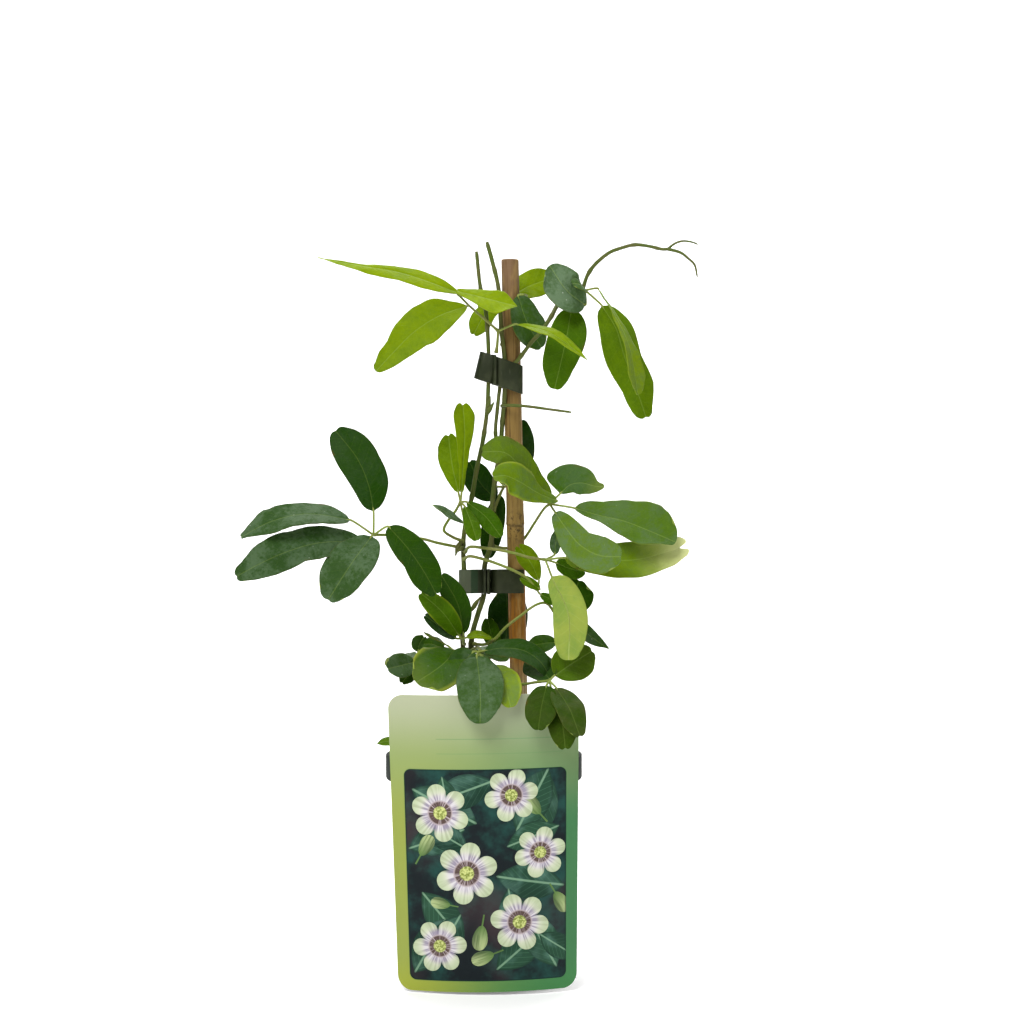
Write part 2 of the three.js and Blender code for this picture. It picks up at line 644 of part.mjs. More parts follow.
        width: 19.5, faces: [-0.35, -0.8, 0.45], widest: 1.2,
      },
    ],
  },
  frond_right_low: {
    color: YOUNG_GREEN,
    petiole: [
      [-9, -5.5, 204.5], [-6.5, -13, 207], [0.5, -17, 206.5], [8, -18.5, 205.5], [15, -18.5, 204],
      [22, -18.5, 202], [29.5, -18, 201],
    ],
    leaflets: [
      { rib: [[38.5, -22, 201], [65.5, -28, 199.5], [95, -28, 206.5]], width: 18, faces: [0, -0.88, 0.45] },
      { rib: [[34.5, -16, 199.5], [41.5, -12, 196.5], [49, -8, 195]], width: 7, faces: [0.3, -0.9, 0.3] },
      { rib: [[34, -15, 203.5], [34.5, -12, 209], [35.5, -10, 215]], width: 6, faces: [0.4, -0.9, 0.1] },
      {
        rib: [[32.5, -22, 193], [40, -36, 175.5], [40, -40, 154.5]],
        width: 18, faces: [0.05, 0.97, 0.2], fullness: 0.42,
      },
    ],
  },
  frond_clip_front: {
    color: YOUNG_GREEN,
    petiole: [
      [-9.6, -5.5, 201], [-6.5, -12.5, 202.5], [0.5, -15.5, 201], [8, -17, 198.5],
      [15, -18, 195.5], [21, -17.5, 192], [25.5, -16, 186.5],
    ],
    leaflets: [
      {
        rib: [[26, -13.5, 187.5], [23, -12, 199.5], [17.5, -10, 209]],
        width: 12, faces: [-0.1, -0.95, 0.3],
      },
      { rib: [[27, -15, 184.5], [32, -16, 182], [36, -15, 180]], width: 6, faces: [0, -0.9, 0.4] },
    ],
  },
  frond_low_right: {
    color: MID_GREEN,
    petiole: [
      [-5, -4, 160], [0.5, -8, 160], [5.5, -12, 163], [10.5, -15, 168.5], [17.5, -15, 174],
      [25.5, -14, 179.5], [30, -12, 180], [34, -10, 175.5],
    ],
    leaflets: [
      { rib: [[36.5, -10, 178], [44, -12, 184], [49, -10, 190]], width: 18, faces: [0.15, -0.95, 0.2] },
      {
        rib: [[38, -9, 172.5], [46, -9, 168], [57, -8, 161.5]],
        width: 9, faces: [0.2, -0.9, 0.3], pointed: true,
      },
      { rib: [[35, -6, 161], [27.5, -4, 160], [21, -2, 158.5]], width: 9, faces: [0.1, -0.95, 0.3] },
    ],
  },
  frond_centre: {
    color: BLUE_GREEN,
    petiole: [[-5.5, -3.5, 157], [-3, -12, 159], [-1.5, -22, 158], [-2.5, -28, 157.5]],
    leaflets: [
      {
        rib: [[-3, -32, 156], [-1, -53, 142], [-1, -60, 127]],
        width: 22, faces: [0, -0.9, 0.45], fullness: 0.45,
      },
      {
        rib: [[0.5, -31, 158.5], [16, -37, 158.5], [31, -34, 150.5]],
        width: 14, faces: [0.1, -0.65, 0.75],
      },
      { rib: [[-0.5, -24, 156], [5, -17, 154.5], [11.5, -10, 154.5]], width: 10, faces: [0, -0.6, 0.8] },
      { rib: [[4, -33, 151.5], [9, -47, 144], [12, -55, 133.5]], width: 12.5, faces: [0.1, -0.85, 0.5] },
    ],
  },
  frond_low_left: {
    color: MID_GREEN,
    petiole: [[-9.5, -5.5, 160], [-9.5, -12, 161], [-10, -18, 163.5]],
    leaflets: [
      {
        rib: [[-9.5, -19, 165.5], [-12, -26, 180], [-20, -28, 194.5]],
        width: 14, faces: [0.35, -0.93, 0.1],
      },
      {
        rib: [[-11.5, -21, 165], [-19, -31, 176.5], [-29.5, -34, 186]],
        width: 11, faces: [-0.3, -0.9, 0.3],
      },
      { rib: [[-13, -18, 163], [-20, -23, 168], [-28, -25, 174]], width: 10, faces: [0.1, 0.6, -0.8] },
      { rib: [[-8, -20, 164], [-2.5, -19, 165.5], [4, -14, 163.5]], width: 7, faces: [0, -0.5, 0.85] },
    ],
  },
  frond_left_front: {
    color: MID_GREEN,
    petiole: [[-9.6, -6, 155.5], [-11.5, -14, 157], [-14, -24, 158]],
    leaflets: [
      {
        rib: [[-14.5, -25, 157.5], [-21.5, -36, 151], [-30, -44, 144.5]],
        width: 24, faces: [-0.2, -0.95, 0.25],
      },
      { rib: [[-17, -23, 160.5], [-22, -28, 164], [-28, -31, 167.5]], width: 5, faces: [0, -0.4, 0.9] },
      {
        rib: [[-19, -18, 158.5], [-24.5, -15, 160.5], [-29, -12, 160.5]],
        width: 8.5, faces: [0, -0.9, 0.4],
      },
    ],
  },
  frond_far_left: {
    color: OLD_GREEN,
    petiole: [[-10.5, -3.5, 150], [-18.5, -6, 152], [-28, -8, 154.5], [-31.5, -10, 155]],
    leaflets: [
      {
        rib: [[-33, -13, 155], [-39.5, -22, 152.5], [-46, -29, 150.5]],
        width: 12, faces: [-0.3, -0.85, 0.4],
      },
      { rib: [[-33.3, -11.6, 151.4], [-35.7, -15.8, 146.6], [-39, -19, 142]], width: 8, faces: [0, -0.95, 0.3] },
      { rib: [[-31.5, -9, 156.5], [-31, -8, 160], [-28.5, -6, 164]], width: 8, faces: [0, -0.95, 0.1] },
      { rib: [[-34, -6, 155], [-42, 8, 157], [-48, 24, 150]], width: 15, faces: [-0.3, 0.2, 0.93] },
    ],
  },
  frond_low_front: {
    color: OLD_GREEN,
    petiole: [
      [-5.5, -3, 149], [5.5, -16, 146], [12.5, -27, 143.5], [18, -34, 143], [24.5, -41, 144.5],
      [31, -45, 145.5],
    ],
    leaflets: [
      {
        rib: [[29.5, -47, 143.5], [27, -56, 134], [25.5, -61, 124]],
        width: 15, faces: [-0.15, -0.95, 0.3],
      },
      { rib: [[34, -47, 142.5], [40, -60, 133.5], [44.5, -65, 121.5]], width: 13, faces: [0.3, -0.9, 0.3] },
      { rib: [[32.5, -47, 138], [36.5, -55, 127], [38, -58, 115]], width: 13, faces: [0, -0.97, 0.25] },
      { rib: [[30, -40, 145], [26, -29, 146.5], [21, -20, 148]], width: 10, faces: [0, -0.8, 0.6] },
      { rib: [[33.5, -38, 147.5], [43, -28, 153], [52, -22, 158]], width: 19, faces: [0.1, -0.93, 0.35] },
    ],
  },
  frond_low_back: {
    color: OLD_GREEN,
    petiole: [[-5.5, -1, 153], [1, 7, 152], [8, 12, 154]],
    leaflets: [
      { rib: [[10, 13, 157], [11.5, 16, 172], [10.5, 16, 186]], width: 19, faces: [0, -0.98, 0.1] },
      { rib: [[6.5, 11, 156.5], [3.5, 11, 163.5], [1.5, 12, 172]], width: 9, faces: [-0.1, -0.97, 0.2] },
      { rib: [[11.5, 15, 154], [18, 34, 155], [20, 54, 147]], width: 18, faces: [0.2, 0.25, 0.95] },
      { rib: [[5, 15, 154], [-3, 30, 156], [-12, 46, 150]], width: 17, faces: [-0.2, 0.25, 0.95] },
      { rib: [[3, 12, 153], [-12, 19, 153], [-26, 26, 146]], width: 16, faces: [-0.3, 0.25, 0.9] },
    ],
  },
  sprout_small: {
    color: MID_GREEN,
    petiole: [[-27, -22, 92], [-28.5, -25, 101], [-33, -30, 110], [-38, -33.5, 114.5]],
    radius: 0.55,
    leaflets: [
      {
        rib: [[-39.5, -34, 115.5], [-44, -35, 116.5], [-49.5, -35, 115.5]],
        width: 5, faces: [0, -0.75, 0.65], pointed: true,
      },
      { rib: [[-36, -31, 115], [-33, -27, 119], [-29, -23, 121]], width: 5, faces: [0.3, -0.3, 0.9] },
    ],
  },
};

function makeFronds(obstacles) {
  return Object.entries(FRONDS).map(([name, plan]) => {
    const whole = obstacles.reduce((solid, obstacle) => solid.subtract(obstacle), frond(plan));
    const [largest] = whole.decompose().sort((a, b) => b.volume() - a.volume());
    return piece(name, largest, plan.color, 0.5);
  });
}

// Assembly

const SPROUT_ROOT = [[-26.5, -21, 88], [-27, -22, 92], [-28.5, -25, 101], [-30, -27, 104]];

const fatStems = [leftStem(CLEARANCE), middleStem(CLEARANCE)];
const fatCane = cane(CANE_RADIUS + CLEARANCE);
const sproutHole = stem(SPROUT_ROOT, PETIOLE_RADIUS + CLEARANCE, PETIOLE_RADIUS + CLEARANCE, 6, 3);

const plant = new THREE.Group();
plant.add(
  piece("pot", makePot(), POT_BLACK, 0.55),
  piece("soil", makeSoil([...fatStems, fatCane, sproutHole, tongue(CLEARANCE)]), PEAT_BROWN, 0.95),
  piece("cane", cane(CANE_RADIUS), CANE_TAN, 0.7),
  piece("clip_upper", makeClip(UPPER_CLIP), CLIP_GREEN, 0.45),
  piece("clip_lower", makeClip(LOWER_CLIP), CLIP_GREEN, 0.45),
  piece("stem_left", leftStem(), STEM_OLIVE, 0.7),
  piece("stem_middle", middleStem(), STEM_OLIVE, 0.7),
  piece("label_card", makeCard(), CARD_GREEN, 0.35),
  ...makeFronds([...fatStems, fatCane]),
);

export default plant;
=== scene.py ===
"""A young climbing plant in a nursery pot, clipped to a bamboo cane, with a picture card on the rim.

Blender's metres, +Z up, the card faces -Y. Lengths are written in millimetres and carry MM.
"""

import math
import random

import bmesh
import bpy
import numpy as np
from mathutils import Matrix, Vector, noise


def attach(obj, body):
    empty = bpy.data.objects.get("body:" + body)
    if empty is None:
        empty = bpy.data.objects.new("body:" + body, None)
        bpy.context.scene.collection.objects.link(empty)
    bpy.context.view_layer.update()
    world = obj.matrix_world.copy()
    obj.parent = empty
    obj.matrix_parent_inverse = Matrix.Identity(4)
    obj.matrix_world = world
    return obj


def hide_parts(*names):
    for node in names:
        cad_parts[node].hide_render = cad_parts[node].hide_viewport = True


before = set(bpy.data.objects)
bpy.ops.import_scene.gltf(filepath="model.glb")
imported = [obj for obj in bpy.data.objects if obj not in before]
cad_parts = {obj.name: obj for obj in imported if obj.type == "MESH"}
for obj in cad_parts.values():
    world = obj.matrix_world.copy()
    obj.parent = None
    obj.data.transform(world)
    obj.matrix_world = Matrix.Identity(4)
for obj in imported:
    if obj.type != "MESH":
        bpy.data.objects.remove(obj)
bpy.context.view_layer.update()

# ---------------------------------------------------------------- Pot
# A round nursery pot, moulded in dark green-black plastic: a tapered wall with a stouter upright
# rim, short ribs under the rim that keep stacked pots apart, and a flat base with drain holes.

MM = 0.001

POT_HEIGHT = 107 * MM
POT_BASE_RADIUS = 33 * MM
POT_SHOULDER_RADIUS = 44.6 * MM
POT_WALL = 1.3 * MM
POT_BASE_THICKNESS = 1.8 * MM
RIM_RADIUS = 47.5 * MM
RIM_HEIGHT = 12.5 * MM
RIM_WALL = 2.2 * MM
LIP_ROUND = 0.8 * MM
POT_SIDES = 128
DRAIN_HOLE_RADIUS = 3.5 * MM
DRAIN_HOLE_CIRCLE = 22 * MM
DRAIN_HOLES = 6
STACKING_RIBS = 24
STACKING_RIB = {"Length": 15 * MM, "Depth": 0.7 * MM, "Width": 1.1 * MM}
POT_PLASTIC = (0.008, 0.013, 0.008)
SOIL_DUST = (0.075, 0.05, 0.032)


class Wire:
    """One output in a node tree. Arithmetic on wires adds the Math nodes for it."""

    def __init__(self, socket):
        self.socket = socket

    def math(self, operation, *others):
        node = self.socket.id_data.nodes.new("ShaderNodeMath")
        node.operation = operation
        for slot, value in zip(node.inputs, (self, *others)):
            plug(value, slot)
        return Wire(node.outputs[0])

    def __add__(self, other):
        return self.math("ADD", other)

    def __sub__(self, other):
        return self.math("SUBTRACT", other)

    def __rsub__(self, other):
        return self.math("MULTIPLY_ADD", -1.0, other)

    def __mul__(self, other):
        return self.math("MULTIPLY", other)

    def __truediv__(self, other):
        return self.math("DIVIDE", other)

    def __pow__(self, power):
        return self.math("POWER", power)

    def __abs__(self):
        return self.math("ABSOLUTE")

    __radd__ = __add__
    __rmul__ = __mul__


def plug(value, slot):
    """Links a wire to an input, or sets the input's own value."""
    if isinstance(value, Wire):
        slot.id_data.links.new(value.socket, slot)
    elif slot.type == "RGBA" and len(value) == 3:
        slot.default_value = (*value, 1.0)
    else:
        slot.default_value = value


def live(sockets, name):
    """The socket of that name which the node's settings leave in use."""
    return next(socket for socket in sockets if socket.name == name and socket.enabled)


def add_node(tree, kind, inputs=None, **settings):
    node = tree.nodes.new(kind)
    for name, value in settings.items():
        setattr(node, name, value)
    for name, value in (inputs or {}).items():
        plug(value, live(node.inputs, name))
    return node


def out(node, name):
    return Wire(live(node.outputs, name))


def mix(tree, share, first, second, kind="RGBA", blend_type="MIX"):
    """From the first value at share 0 to the second at share 1."""
    settings = {"data_type": kind}
    if kind == "RGBA":
        settings["blend_type"] = blend_type
    node = add_node(tree, "ShaderNodeMix", {"Factor": share, "A": first, "B": second}, **settings)
    return out(node, "Result")


def rise(wire, low, high):
    """0 below low, 1 above high, and smooth between them."""
    inputs = {"Value": wire, "From Min": low, "From Max": high}
    node = add_node(wire.socket.id_data, "ShaderNodeMapRange", inputs, interpolation_type="SMOOTHSTEP")
    return out(node, "Result")


def grain(tree, place, scale, detail=2.0, roughness=0.5):
    """Noise from 0 to 1 at so many grains a metre of the place it reads."""
    inputs = {"Vector": place, "Scale": scale, "Detail": detail, "Roughness": roughness}
    return out(add_node(tree, "ShaderNodeTexNoise", inputs), "Fac")


def vector_math(tree, operation, first, second=None, scale=None):
    node = add_node(tree, "ShaderNodeVectorMath", operation=operation)
    plug(first, node.inputs[0])
    if second is not None:
        plug(second, node.inputs[1])
    if scale is not None:
        plug(scale, node.inputs["Scale"])
    return Wire(node.outputs["Vector"])


def drawn_grain(tree, place, scales, detail, roughness=0.5):
    """Noise drawn out along an axis: scales are its grains a metre along each."""
    return grain(tree, vector_math(tree, "MULTIPLY", place, scales), 1.0, detail, roughness)


def bell(wire):
    """1 where the wire is 0, and soon 0 on both sides of it."""
    return (wire ** 2.0 * -1.0).math("EXPONENT")


def split(tree, vector):
    node = add_node(tree, "ShaderNodeSeparateXYZ", {"Vector": vector})
    return tuple(Wire(socket) for socket in node.outputs)


def bundle(tree, x, y, z=0.0):
    return out(add_node(tree, "ShaderNodeCombineXYZ", {"X": x, "Y": y, "Z": z}), "Vector")


def new_material(name):
    material = bpy.data.materials.new(name)
    material.use_nodes = True
    tree = material.node_tree
    tree.nodes.clear()
    shader = add_node(tree, "ShaderNodeBsdfPrincipled")
    surface = add_node(tree, "ShaderNodeOutputMaterial").inputs["Surface"]
    tree.links.new(shader.outputs["BSDF"], surface)
    return material, tree, shader


def object_place(tree):
    return out(add_node(tree, "ShaderNodeTexCoord"), "Object")


def own_value(tree, name, output="Vector"):
    """An attribute that the piece's mesh carries."""
    return out(add_node(tree, "ShaderNodeAttribute", attribute_name=name), output)


def relief(tree, shader, height, depth):
    """Raises the surface by up to depth where height is 1."""
    node = add_node(tree, "ShaderNodeBump", {"Height": height, "Distance": depth, "Strength": 1.0})
    plug(out(node, "Normal"), shader.inputs["Normal"])


def coat(shader, tone, roughness, specular, tint=(1, 1, 1)):
    """Gives a shader its colour, its roughness and the strength and tint of its shine."""
    plug(tone, shader.inputs["Base Color"])
    plug(roughness, shader.inputs["Roughness"])
    shader.inputs["Specular IOR Level"].default_value = specular
    plug(tint, shader.inputs["Specular Tint"])


def plain_mesh(name, points, faces, edges=()):
    mesh = bpy.data.meshes.new(name)
    mesh.from_pydata(points, edges, faces)
    return mesh


def mesh_of(work, name):
    """The plain mesh of a bmesh. The bmesh goes."""
    mesh = bpy.data.meshes.new(name)
    work.to_mesh(mesh)
    work.free()
    return mesh


def pot_plastic():
    material, tree, shader = new_material("pot plastic")
    place = object_place(tree)
    height = split(tree, place)[2]
    flow = drawn_grain(tree, place, (160, 160, 12), 3)
    pebble = grain(tree, place, 1400, 2)
    dust = rise(grain(tree, place, 90, 5, 0.65), 0.56, 0.72)
    dusty = dust * rise(height, POT_HEIGHT - 30 * MM, POT_HEIGHT) * 0.15
    worn = mix(tree, flow * 0.5, POT_PLASTIC, (0.022, 0.03, 0.025))
    coat(shader, mix(tree, dusty, worn, SOIL_DUST), 0.5 + flow * 0.14 + dusty * 0.4, 0.03)
    relief(tree, shader, pebble * 0.5 + flow * 0.5, 0.12 * MM)
    return material


def lathe(profile, sides):
    """Turns a closed profile of (radius, height) points about the Z axis."""
    turning = bmesh.new()
    corners = [turning.verts.new((radius, 0, height)) for radius, height in profile]
    edges = [turning.edges.new(pair) for pair in zip(corners, corners[1:] + corners[:1])]
    bmesh.ops.spin(
        turning, geom=corners + edges, axis=(0, 0, 1), cent=(0, 0, 0),
        angle=2 * math.pi, steps=sides, use_merge=True,
    )
    bmesh.ops.remove_doubles(turning, verts=turning.verts, dist=0.001 * MM)
    bmesh.ops.recalc_face_normals(turning, faces=turning.faces)
    return mesh_of(turning, "turned")


def link_object(name, mesh):
    piece = bpy.data.objects.new(name, mesh)
    bpy.context.scene.collection.objects.link(piece)
    return piece


def baked(piece, name):
    """The plain mesh that an object's modifiers make. The object goes."""
    evaluated = piece.evaluated_get(bpy.context.evaluated_depsgraph_get())
    mesh = bpy.data.meshes.new_from_object(evaluated)
    mesh.name = name
    bpy.data.objects.remove(piece)
    return mesh


def combined(body, tool, operation):
    """The plain mesh of an object joined to another or cut by it. Both objects go."""
    step = body.modifiers.new(operation.lower(), "BOOLEAN")
    step.operation = operation
    step.object = tool
    step.solver = "EXACT"
    mesh = baked(body, body.name)
    bpy.data.objects.remove(tool)
    return mesh


def thickened(mesh, thickness, rim_offset=0):
    """A sheet given thickness. Its back takes the second material, and its rim the first or the second."""
    sheet = link_object("sheet", mesh)
    thicken = sheet.modifiers.new("sheet", "SOLIDIFY")
    thicken.thickness = thickness
    thicken.offset = 0
    thicken.material_offset = 1
    thicken.material_offset_rim = rim_offset
    return baked(sheet, "sheet")


def geometry_tree(name, inputs):
    """A new geometry tree with a Geometry input and output and the named inputs."""
    tree = bpy.data.node_groups.new(name, "GeometryNodeTree")
    tree.interface.new_socket("Geometry", in_out="INPUT", socket_type="NodeSocketGeometry")
    for label, kind in inputs.items():
        tree.interface.new_socket(label, in_out="INPUT", socket_type=f"NodeSocket{kind}")
    tree.interface.new_socket("Geometry", in_out="OUTPUT", socket_type="NodeSocketGeometry")
    return tree, add_node(tree, "NodeGroupInput")


def finish_tree(tree, entry, shape):
    """Realizes instances, shades smooth and gives the material, as every tree here ends."""
    real = out(add_node(tree, "GeometryNodeRealizeInstances", {"Geometry": shape}), "Geometry")
    smooth = out(add_node(tree, "GeometryNodeSetShadeSmooth", {"Geometry": real}), "Geometry")
    inputs = {"Geometry": smooth, "Material": out(entry, "Material")}
    done = add_node(tree, "GeometryNodeSetMaterial", inputs)
    tree.links.new(done.outputs["Geometry"], add_node(tree, "NodeGroupOutput").inputs["Geometry"])


def grown(tree, mesh, values, name):
    """Runs a geometry tree on a mesh and returns the plain mesh that comes out."""
    piece = bpy.data.objects.new(name, mesh)
    modifier = piece.modifiers.new(tree.name, "NODES")
    modifier.node_group = tree
    for item in tree.interface.items_tree:
        if item.in_out == "INPUT" and item.name in values:
            modifier[item.identifier] = values[item.name]
    bpy.context.scene.collection.objects.link(piece)
    return baked(piece, name)


def joined(name, meshes):
    """One object of several meshes, each with its own material."""
    parts = [link_object(name, mesh) for mesh in meshes]
    chosen = {"active_object": parts[0], "selected_editable_objects": parts}
    with bpy.context.temp_override(**chosen, selected_objects=parts):
        bpy.ops.object.join()
    return parts[0]


def smooth(mesh, angle=None):
    """Shades a mesh smooth, and keeps its edges sharp past an angle in degrees."""
    mesh.shade_smooth()
    if angle is not None:
        mesh.set_sharp_from_angle(angle=math.radians(angle))


def stands_for(piece, node):
    """Puts the finished piece on the root body in place of its CAD node."""
    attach(piece, "root")
    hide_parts(node)


def pot_profile():
    """Up the outside from the middle of the base, round the lip, and down the inside."""
    shoulder = POT_HEIGHT - RIM_HEIGHT
    ledge = 1 * MM
    lip_middle = RIM_RADIUS - RIM_WALL / 2
    lip = [
        (lip_middle + RIM_WALL / 2 * math.cos(turn), POT_HEIGHT - LIP_ROUND * (1 - math.sin(turn)))
        for turn in np.linspace(0, math.pi, 9)
    ]
    return [
        (0, 0),
        (POT_BASE_RADIUS - LIP_ROUND, 0),
        (POT_BASE_RADIUS - 0.3 * LIP_ROUND, 0.3 * LIP_ROUND),
        (POT_BASE_RADIUS, LIP_ROUND),
        (POT_SHOULDER_RADIUS, shoulder),
        (RIM_RADIUS - 0.4 * MM, shoulder + 0.6 * ledge),
        (RIM_RADIUS, shoulder + 1.4 * ledge),
        *lip,
        (RIM_RADIUS - RIM_WALL, shoulder + 2 * ledge),
        (POT_SHOULDER_RADIUS - POT_WALL, shoulder + ledge),
        (POT_BASE_RADIUS - POT_WALL, POT_BASE_THICKNESS),
        (0, POT_BASE_THICKNESS),
    ]


def drilled(mesh):
    """Cuts the drain holes through the base."""
    drills = bmesh.new()
    for hole in range(DRAIN_HOLES):
        turn = Matrix.Rotation(2 * math.pi * (hole + 0.5) / DRAIN_HOLES, 4, "Z")
        bmesh.ops.create_cone(
            drills, cap_ends=True, segments=32, depth=4 * POT_BASE_THICKNESS,
            radius1=DRAIN_HOLE_RADIUS, radius2=DRAIN_HOLE_RADIUS,
            matrix=turn @ Matrix.Translation((DRAIN_HOLE_CIRCLE, 0, 0)),
        )
    cutter = link_object("drills", mesh_of(drills, "drills"))
    return combined(link_object("pot body", mesh), cutter, "DIFFERENCE")


def stacking_rib_tree():
    """A row of tapered ribs round the pot, just under its rim."""
    inputs = {"Count": "Int", "Length": "Float", "Depth": "Float", "Width": "Float",
              "Radius": "Float", "Top": "Float", "Material": "Material"}
    tree, entry = geometry_tree("Stacking ribs", inputs)
    line = add_node(tree, "GeometryNodeMeshLine", {"Count": out(entry, "Count")})
    turn = out(add_node(tree, "GeometryNodeInputIndex"), "Index") * (2 * math.pi) / out(entry, "Count")
    middle = out(entry, "Top") - out(entry, "Length") * 0.5
    spot = bundle(
        tree, turn.math("COSINE") * out(entry, "Radius"), turn.math("SINE") * out(entry, "Radius"), middle
    )
    ring = add_node(tree, "GeometryNodeSetPosition", {"Geometry": out(line, "Mesh"), "Position": spot})
    rib = add_node(tree, "GeometryNodeMeshUVSphere", {"Segments": 8, "Rings": 8, "Radius": 0.5})
    size = bundle(tree, out(entry, "Depth") * 2.0, out(entry, "Width"), out(entry, "Length"))
    instances = add_node(tree, "GeometryNodeInstanceOnPoints", {
        "Points": out(ring, "Geometry"),
        "Instance": out(rib, "Mesh"),
        "Rotation": bundle(tree, 0.0, 0.0, turn),
        "Scale": size,
    })
    finish_tree(tree, entry, out(instances, "Instances"))
    return tree


pot_finish = pot_plastic()
pot_body = drilled(lathe(pot_profile(), POT_SIDES))
smooth(pot_body, 35)
pot_body.materials.append(pot_finish)
pot_ribs = grown(stacking_rib_tree(), bpy.data.meshes.new("ribs"), {
    **STACKING_RIB,
    "Count": STACKING_RIBS,
    "Radius": POT_SHOULDER_RADIUS - 0.9 * MM,
    "Top": POT_HEIGHT - RIM_HEIGHT + 0.2 * MM,
    "Material": pot_finish,
}, "stacking ribs")
stands_for(joined("nursery_pot", [pot_body, pot_ribs]), "pot")

# ---------------------------------------------------------------- Soil
# Peat-based potting soil: a plug that fills the pot to just under the rim, with a crumbly top of
# small lumps and root fibres. It holds the roots, the stems and the cane.

SOIL_TOP = 97 * MM
SOIL_EDGE_DROP = 4 * MM
SOIL_RADIUS = 42.6 * MM
SOIL_FOOT_RADIUS = 31.4 * MM
CRUMBS = {"Crumb density": 260000.0, "Fibre density": 42000.0, "Seed": 7}
CRUMB_SIZE = 0.9 * MM
FIBRE_SIZE = (5.5 * MM, 0.32 * MM, 0.32 * MM)
SOIL_RINGS = 40
SOIL_SIDES = 144
SOIL_CLEARANCE = 0.35 * MM
SOIL_LEVEL_SHARE = 0.8
FULL_TURN = 6.28


def peat():
    material, tree, shader = new_material("peat")
    place = object_place(tree)
    lumps = grain(tree, place, 320, 6, 0.7)
    fine = grain(tree, place, 1500, 3)
    shade = mix(tree, lumps, (0.012, 0.007, 0.004), (0.085, 0.05, 0.028))
    coat(shader, mix(tree, rise(fine, 0.6, 0.75) * 0.5, shade, (0.16, 0.11, 0.065)), 0.95, 0.5)
    relief(tree, shader, lumps * 0.6 + fine * 0.4, 0.6 * MM)
    return material


def soil_plug():
    """A round plug with a fine polar grid for its top, roughened by noise, and a foot clear of the pot."""
    rings, sides = SOIL_RINGS, SOIL_SIDES
    foot = POT_BASE_THICKNESS + SOIL_CLEARANCE
    points = [(0, 0, SOIL_TOP)]
    for ring in range(1, rings + 1):
        share = ring / rings
        for side in range(sides):
            turn = 2 * math.pi * side / sides
            spot = Vector((SOIL_RADIUS * share * math.cos(turn), SOIL_RADIUS * share * math.sin(turn), 0))
            rough = 1.5 * noise.noise(spot * 110) + 0.7 * noise.noise(spot * 340)
            edge = max(0.0, share - SOIL_LEVEL_SHARE) / (1 - SOIL_LEVEL_SHARE)
            points.append((spot.x, spot.y, SOIL_TOP + rough * MM - SOIL_EDGE_DROP * edge * edge))
    for side in range(sides):
        turn = 2 * math.pi * side / sides
        points.append((SOIL_FOOT_RADIUS * math.cos(turn), SOIL_FOOT_RADIUS * math.sin(turn), foot))
    faces = []
    for side in range(sides):
        after = (side + 1) % sides
        faces.append((0, 1 + side, 1 + after))
        for ring in range(rings):
            near, far = 1 + ring * sides, 1 + (ring + 1) * sides
            faces.append((near + side, far + side, far + after, near + after))
    faces.append(tuple(1 + rings * sides + side for side in reversed(range(sides))))
    return plain_mesh("soil", points, faces)


def scatter(tree, ground, density, seed, shape, rotation, scale):
    """Instances of a shape over the parts of the ground that look up."""
    facing = split(tree, out(add_node(tree, "GeometryNodeInputNormal"), "Normal"))[2]
    spread = add_node(tree, "GeometryNodeDistributePointsOnFaces", {
        "Mesh": ground, "Selection": facing.math("GREATER_THAN", 0.4), "Density": density, "Seed": seed,
    })
    return out(add_node(tree, "GeometryNodeInstanceOnPoints", {
        "Points": out(spread, "Points"), "Instance": shape, "Rotation": rotation, "Scale": scale,
    }), "Instances")


def random_vector(tree, low, high, seed):
    inputs = {"Min": low, "Max": high, "Seed": seed}
    return out(add_node(tree, "FunctionNodeRandomValue", inputs, data_type="FLOAT_VECTOR"), "Value")


def crumb_tree():
    """Lumps and fibres strewn over the soil."""
    inputs = {"Crumb density": "Float", "Fibre density": "Float", "Seed": "Int", "Material": "Material"}
    tree, entry = geometry_tree("Soil crumbs", inputs)
    ground = out(entry, "Geometry")
    seed = out(entry, "Seed")
    lump = add_node(tree, "GeometryNodeMeshIcoSphere", {"Radius": CRUMB_SIZE, "Subdivisions": 2})
    fibre = add_node(tree, "GeometryNodeMeshIcoSphere", {"Radius": 0.5, "Subdivisions": 2})
    turns = random_vector(tree, (0, 0, 0), (FULL_TURN, FULL_TURN, FULL_TURN), seed + 1)
    sizes = random_vector(tree, (0.3, 0.3, 0.3), (1.3, 1.1, 0.9), seed + 2)
    crumbs = scatter(tree, ground, out(entry, "Crumb density"), seed, out(lump, "Mesh"), turns, sizes)
    flat = random_vector(tree, (-0.25, -0.25, 0), (0.25, 0.25, FULL_TURN), seed + 3)
    uneven = random_vector(tree, (0.4, 0.7, 0.7), (1.3, 1.2, 1.2), seed + 4)
    thin = vector_math(tree, "MULTIPLY", uneven, FIBRE_SIZE)
    count = out(entry, "Fibre density")
    fibres = scatter(tree, ground, count, seed + 5, out(fibre, "Mesh"), flat, thin)
    together = add_node(tree, "GeometryNodeJoinGeometry")
    for part in (fibres, crumbs, ground):
        plug(part, together.inputs["Geometry"])
    finish_tree(tree, entry, out(together, "Geometry"))
    return tree


soil = link_object("potting_soil", grown(crumb_tree(), soil_plug(), {**CRUMBS, "Material": peat()}, "soil"))
stands_for(soil, "soil")

# ---------------------------------------------------------------- Cane
# A bamboo cane, cut off square at the top with a broken edge, pushed down through the soil. One
# joint shows: a raised ring with a dark scar under it. The wood is golden brown, greyer on top.

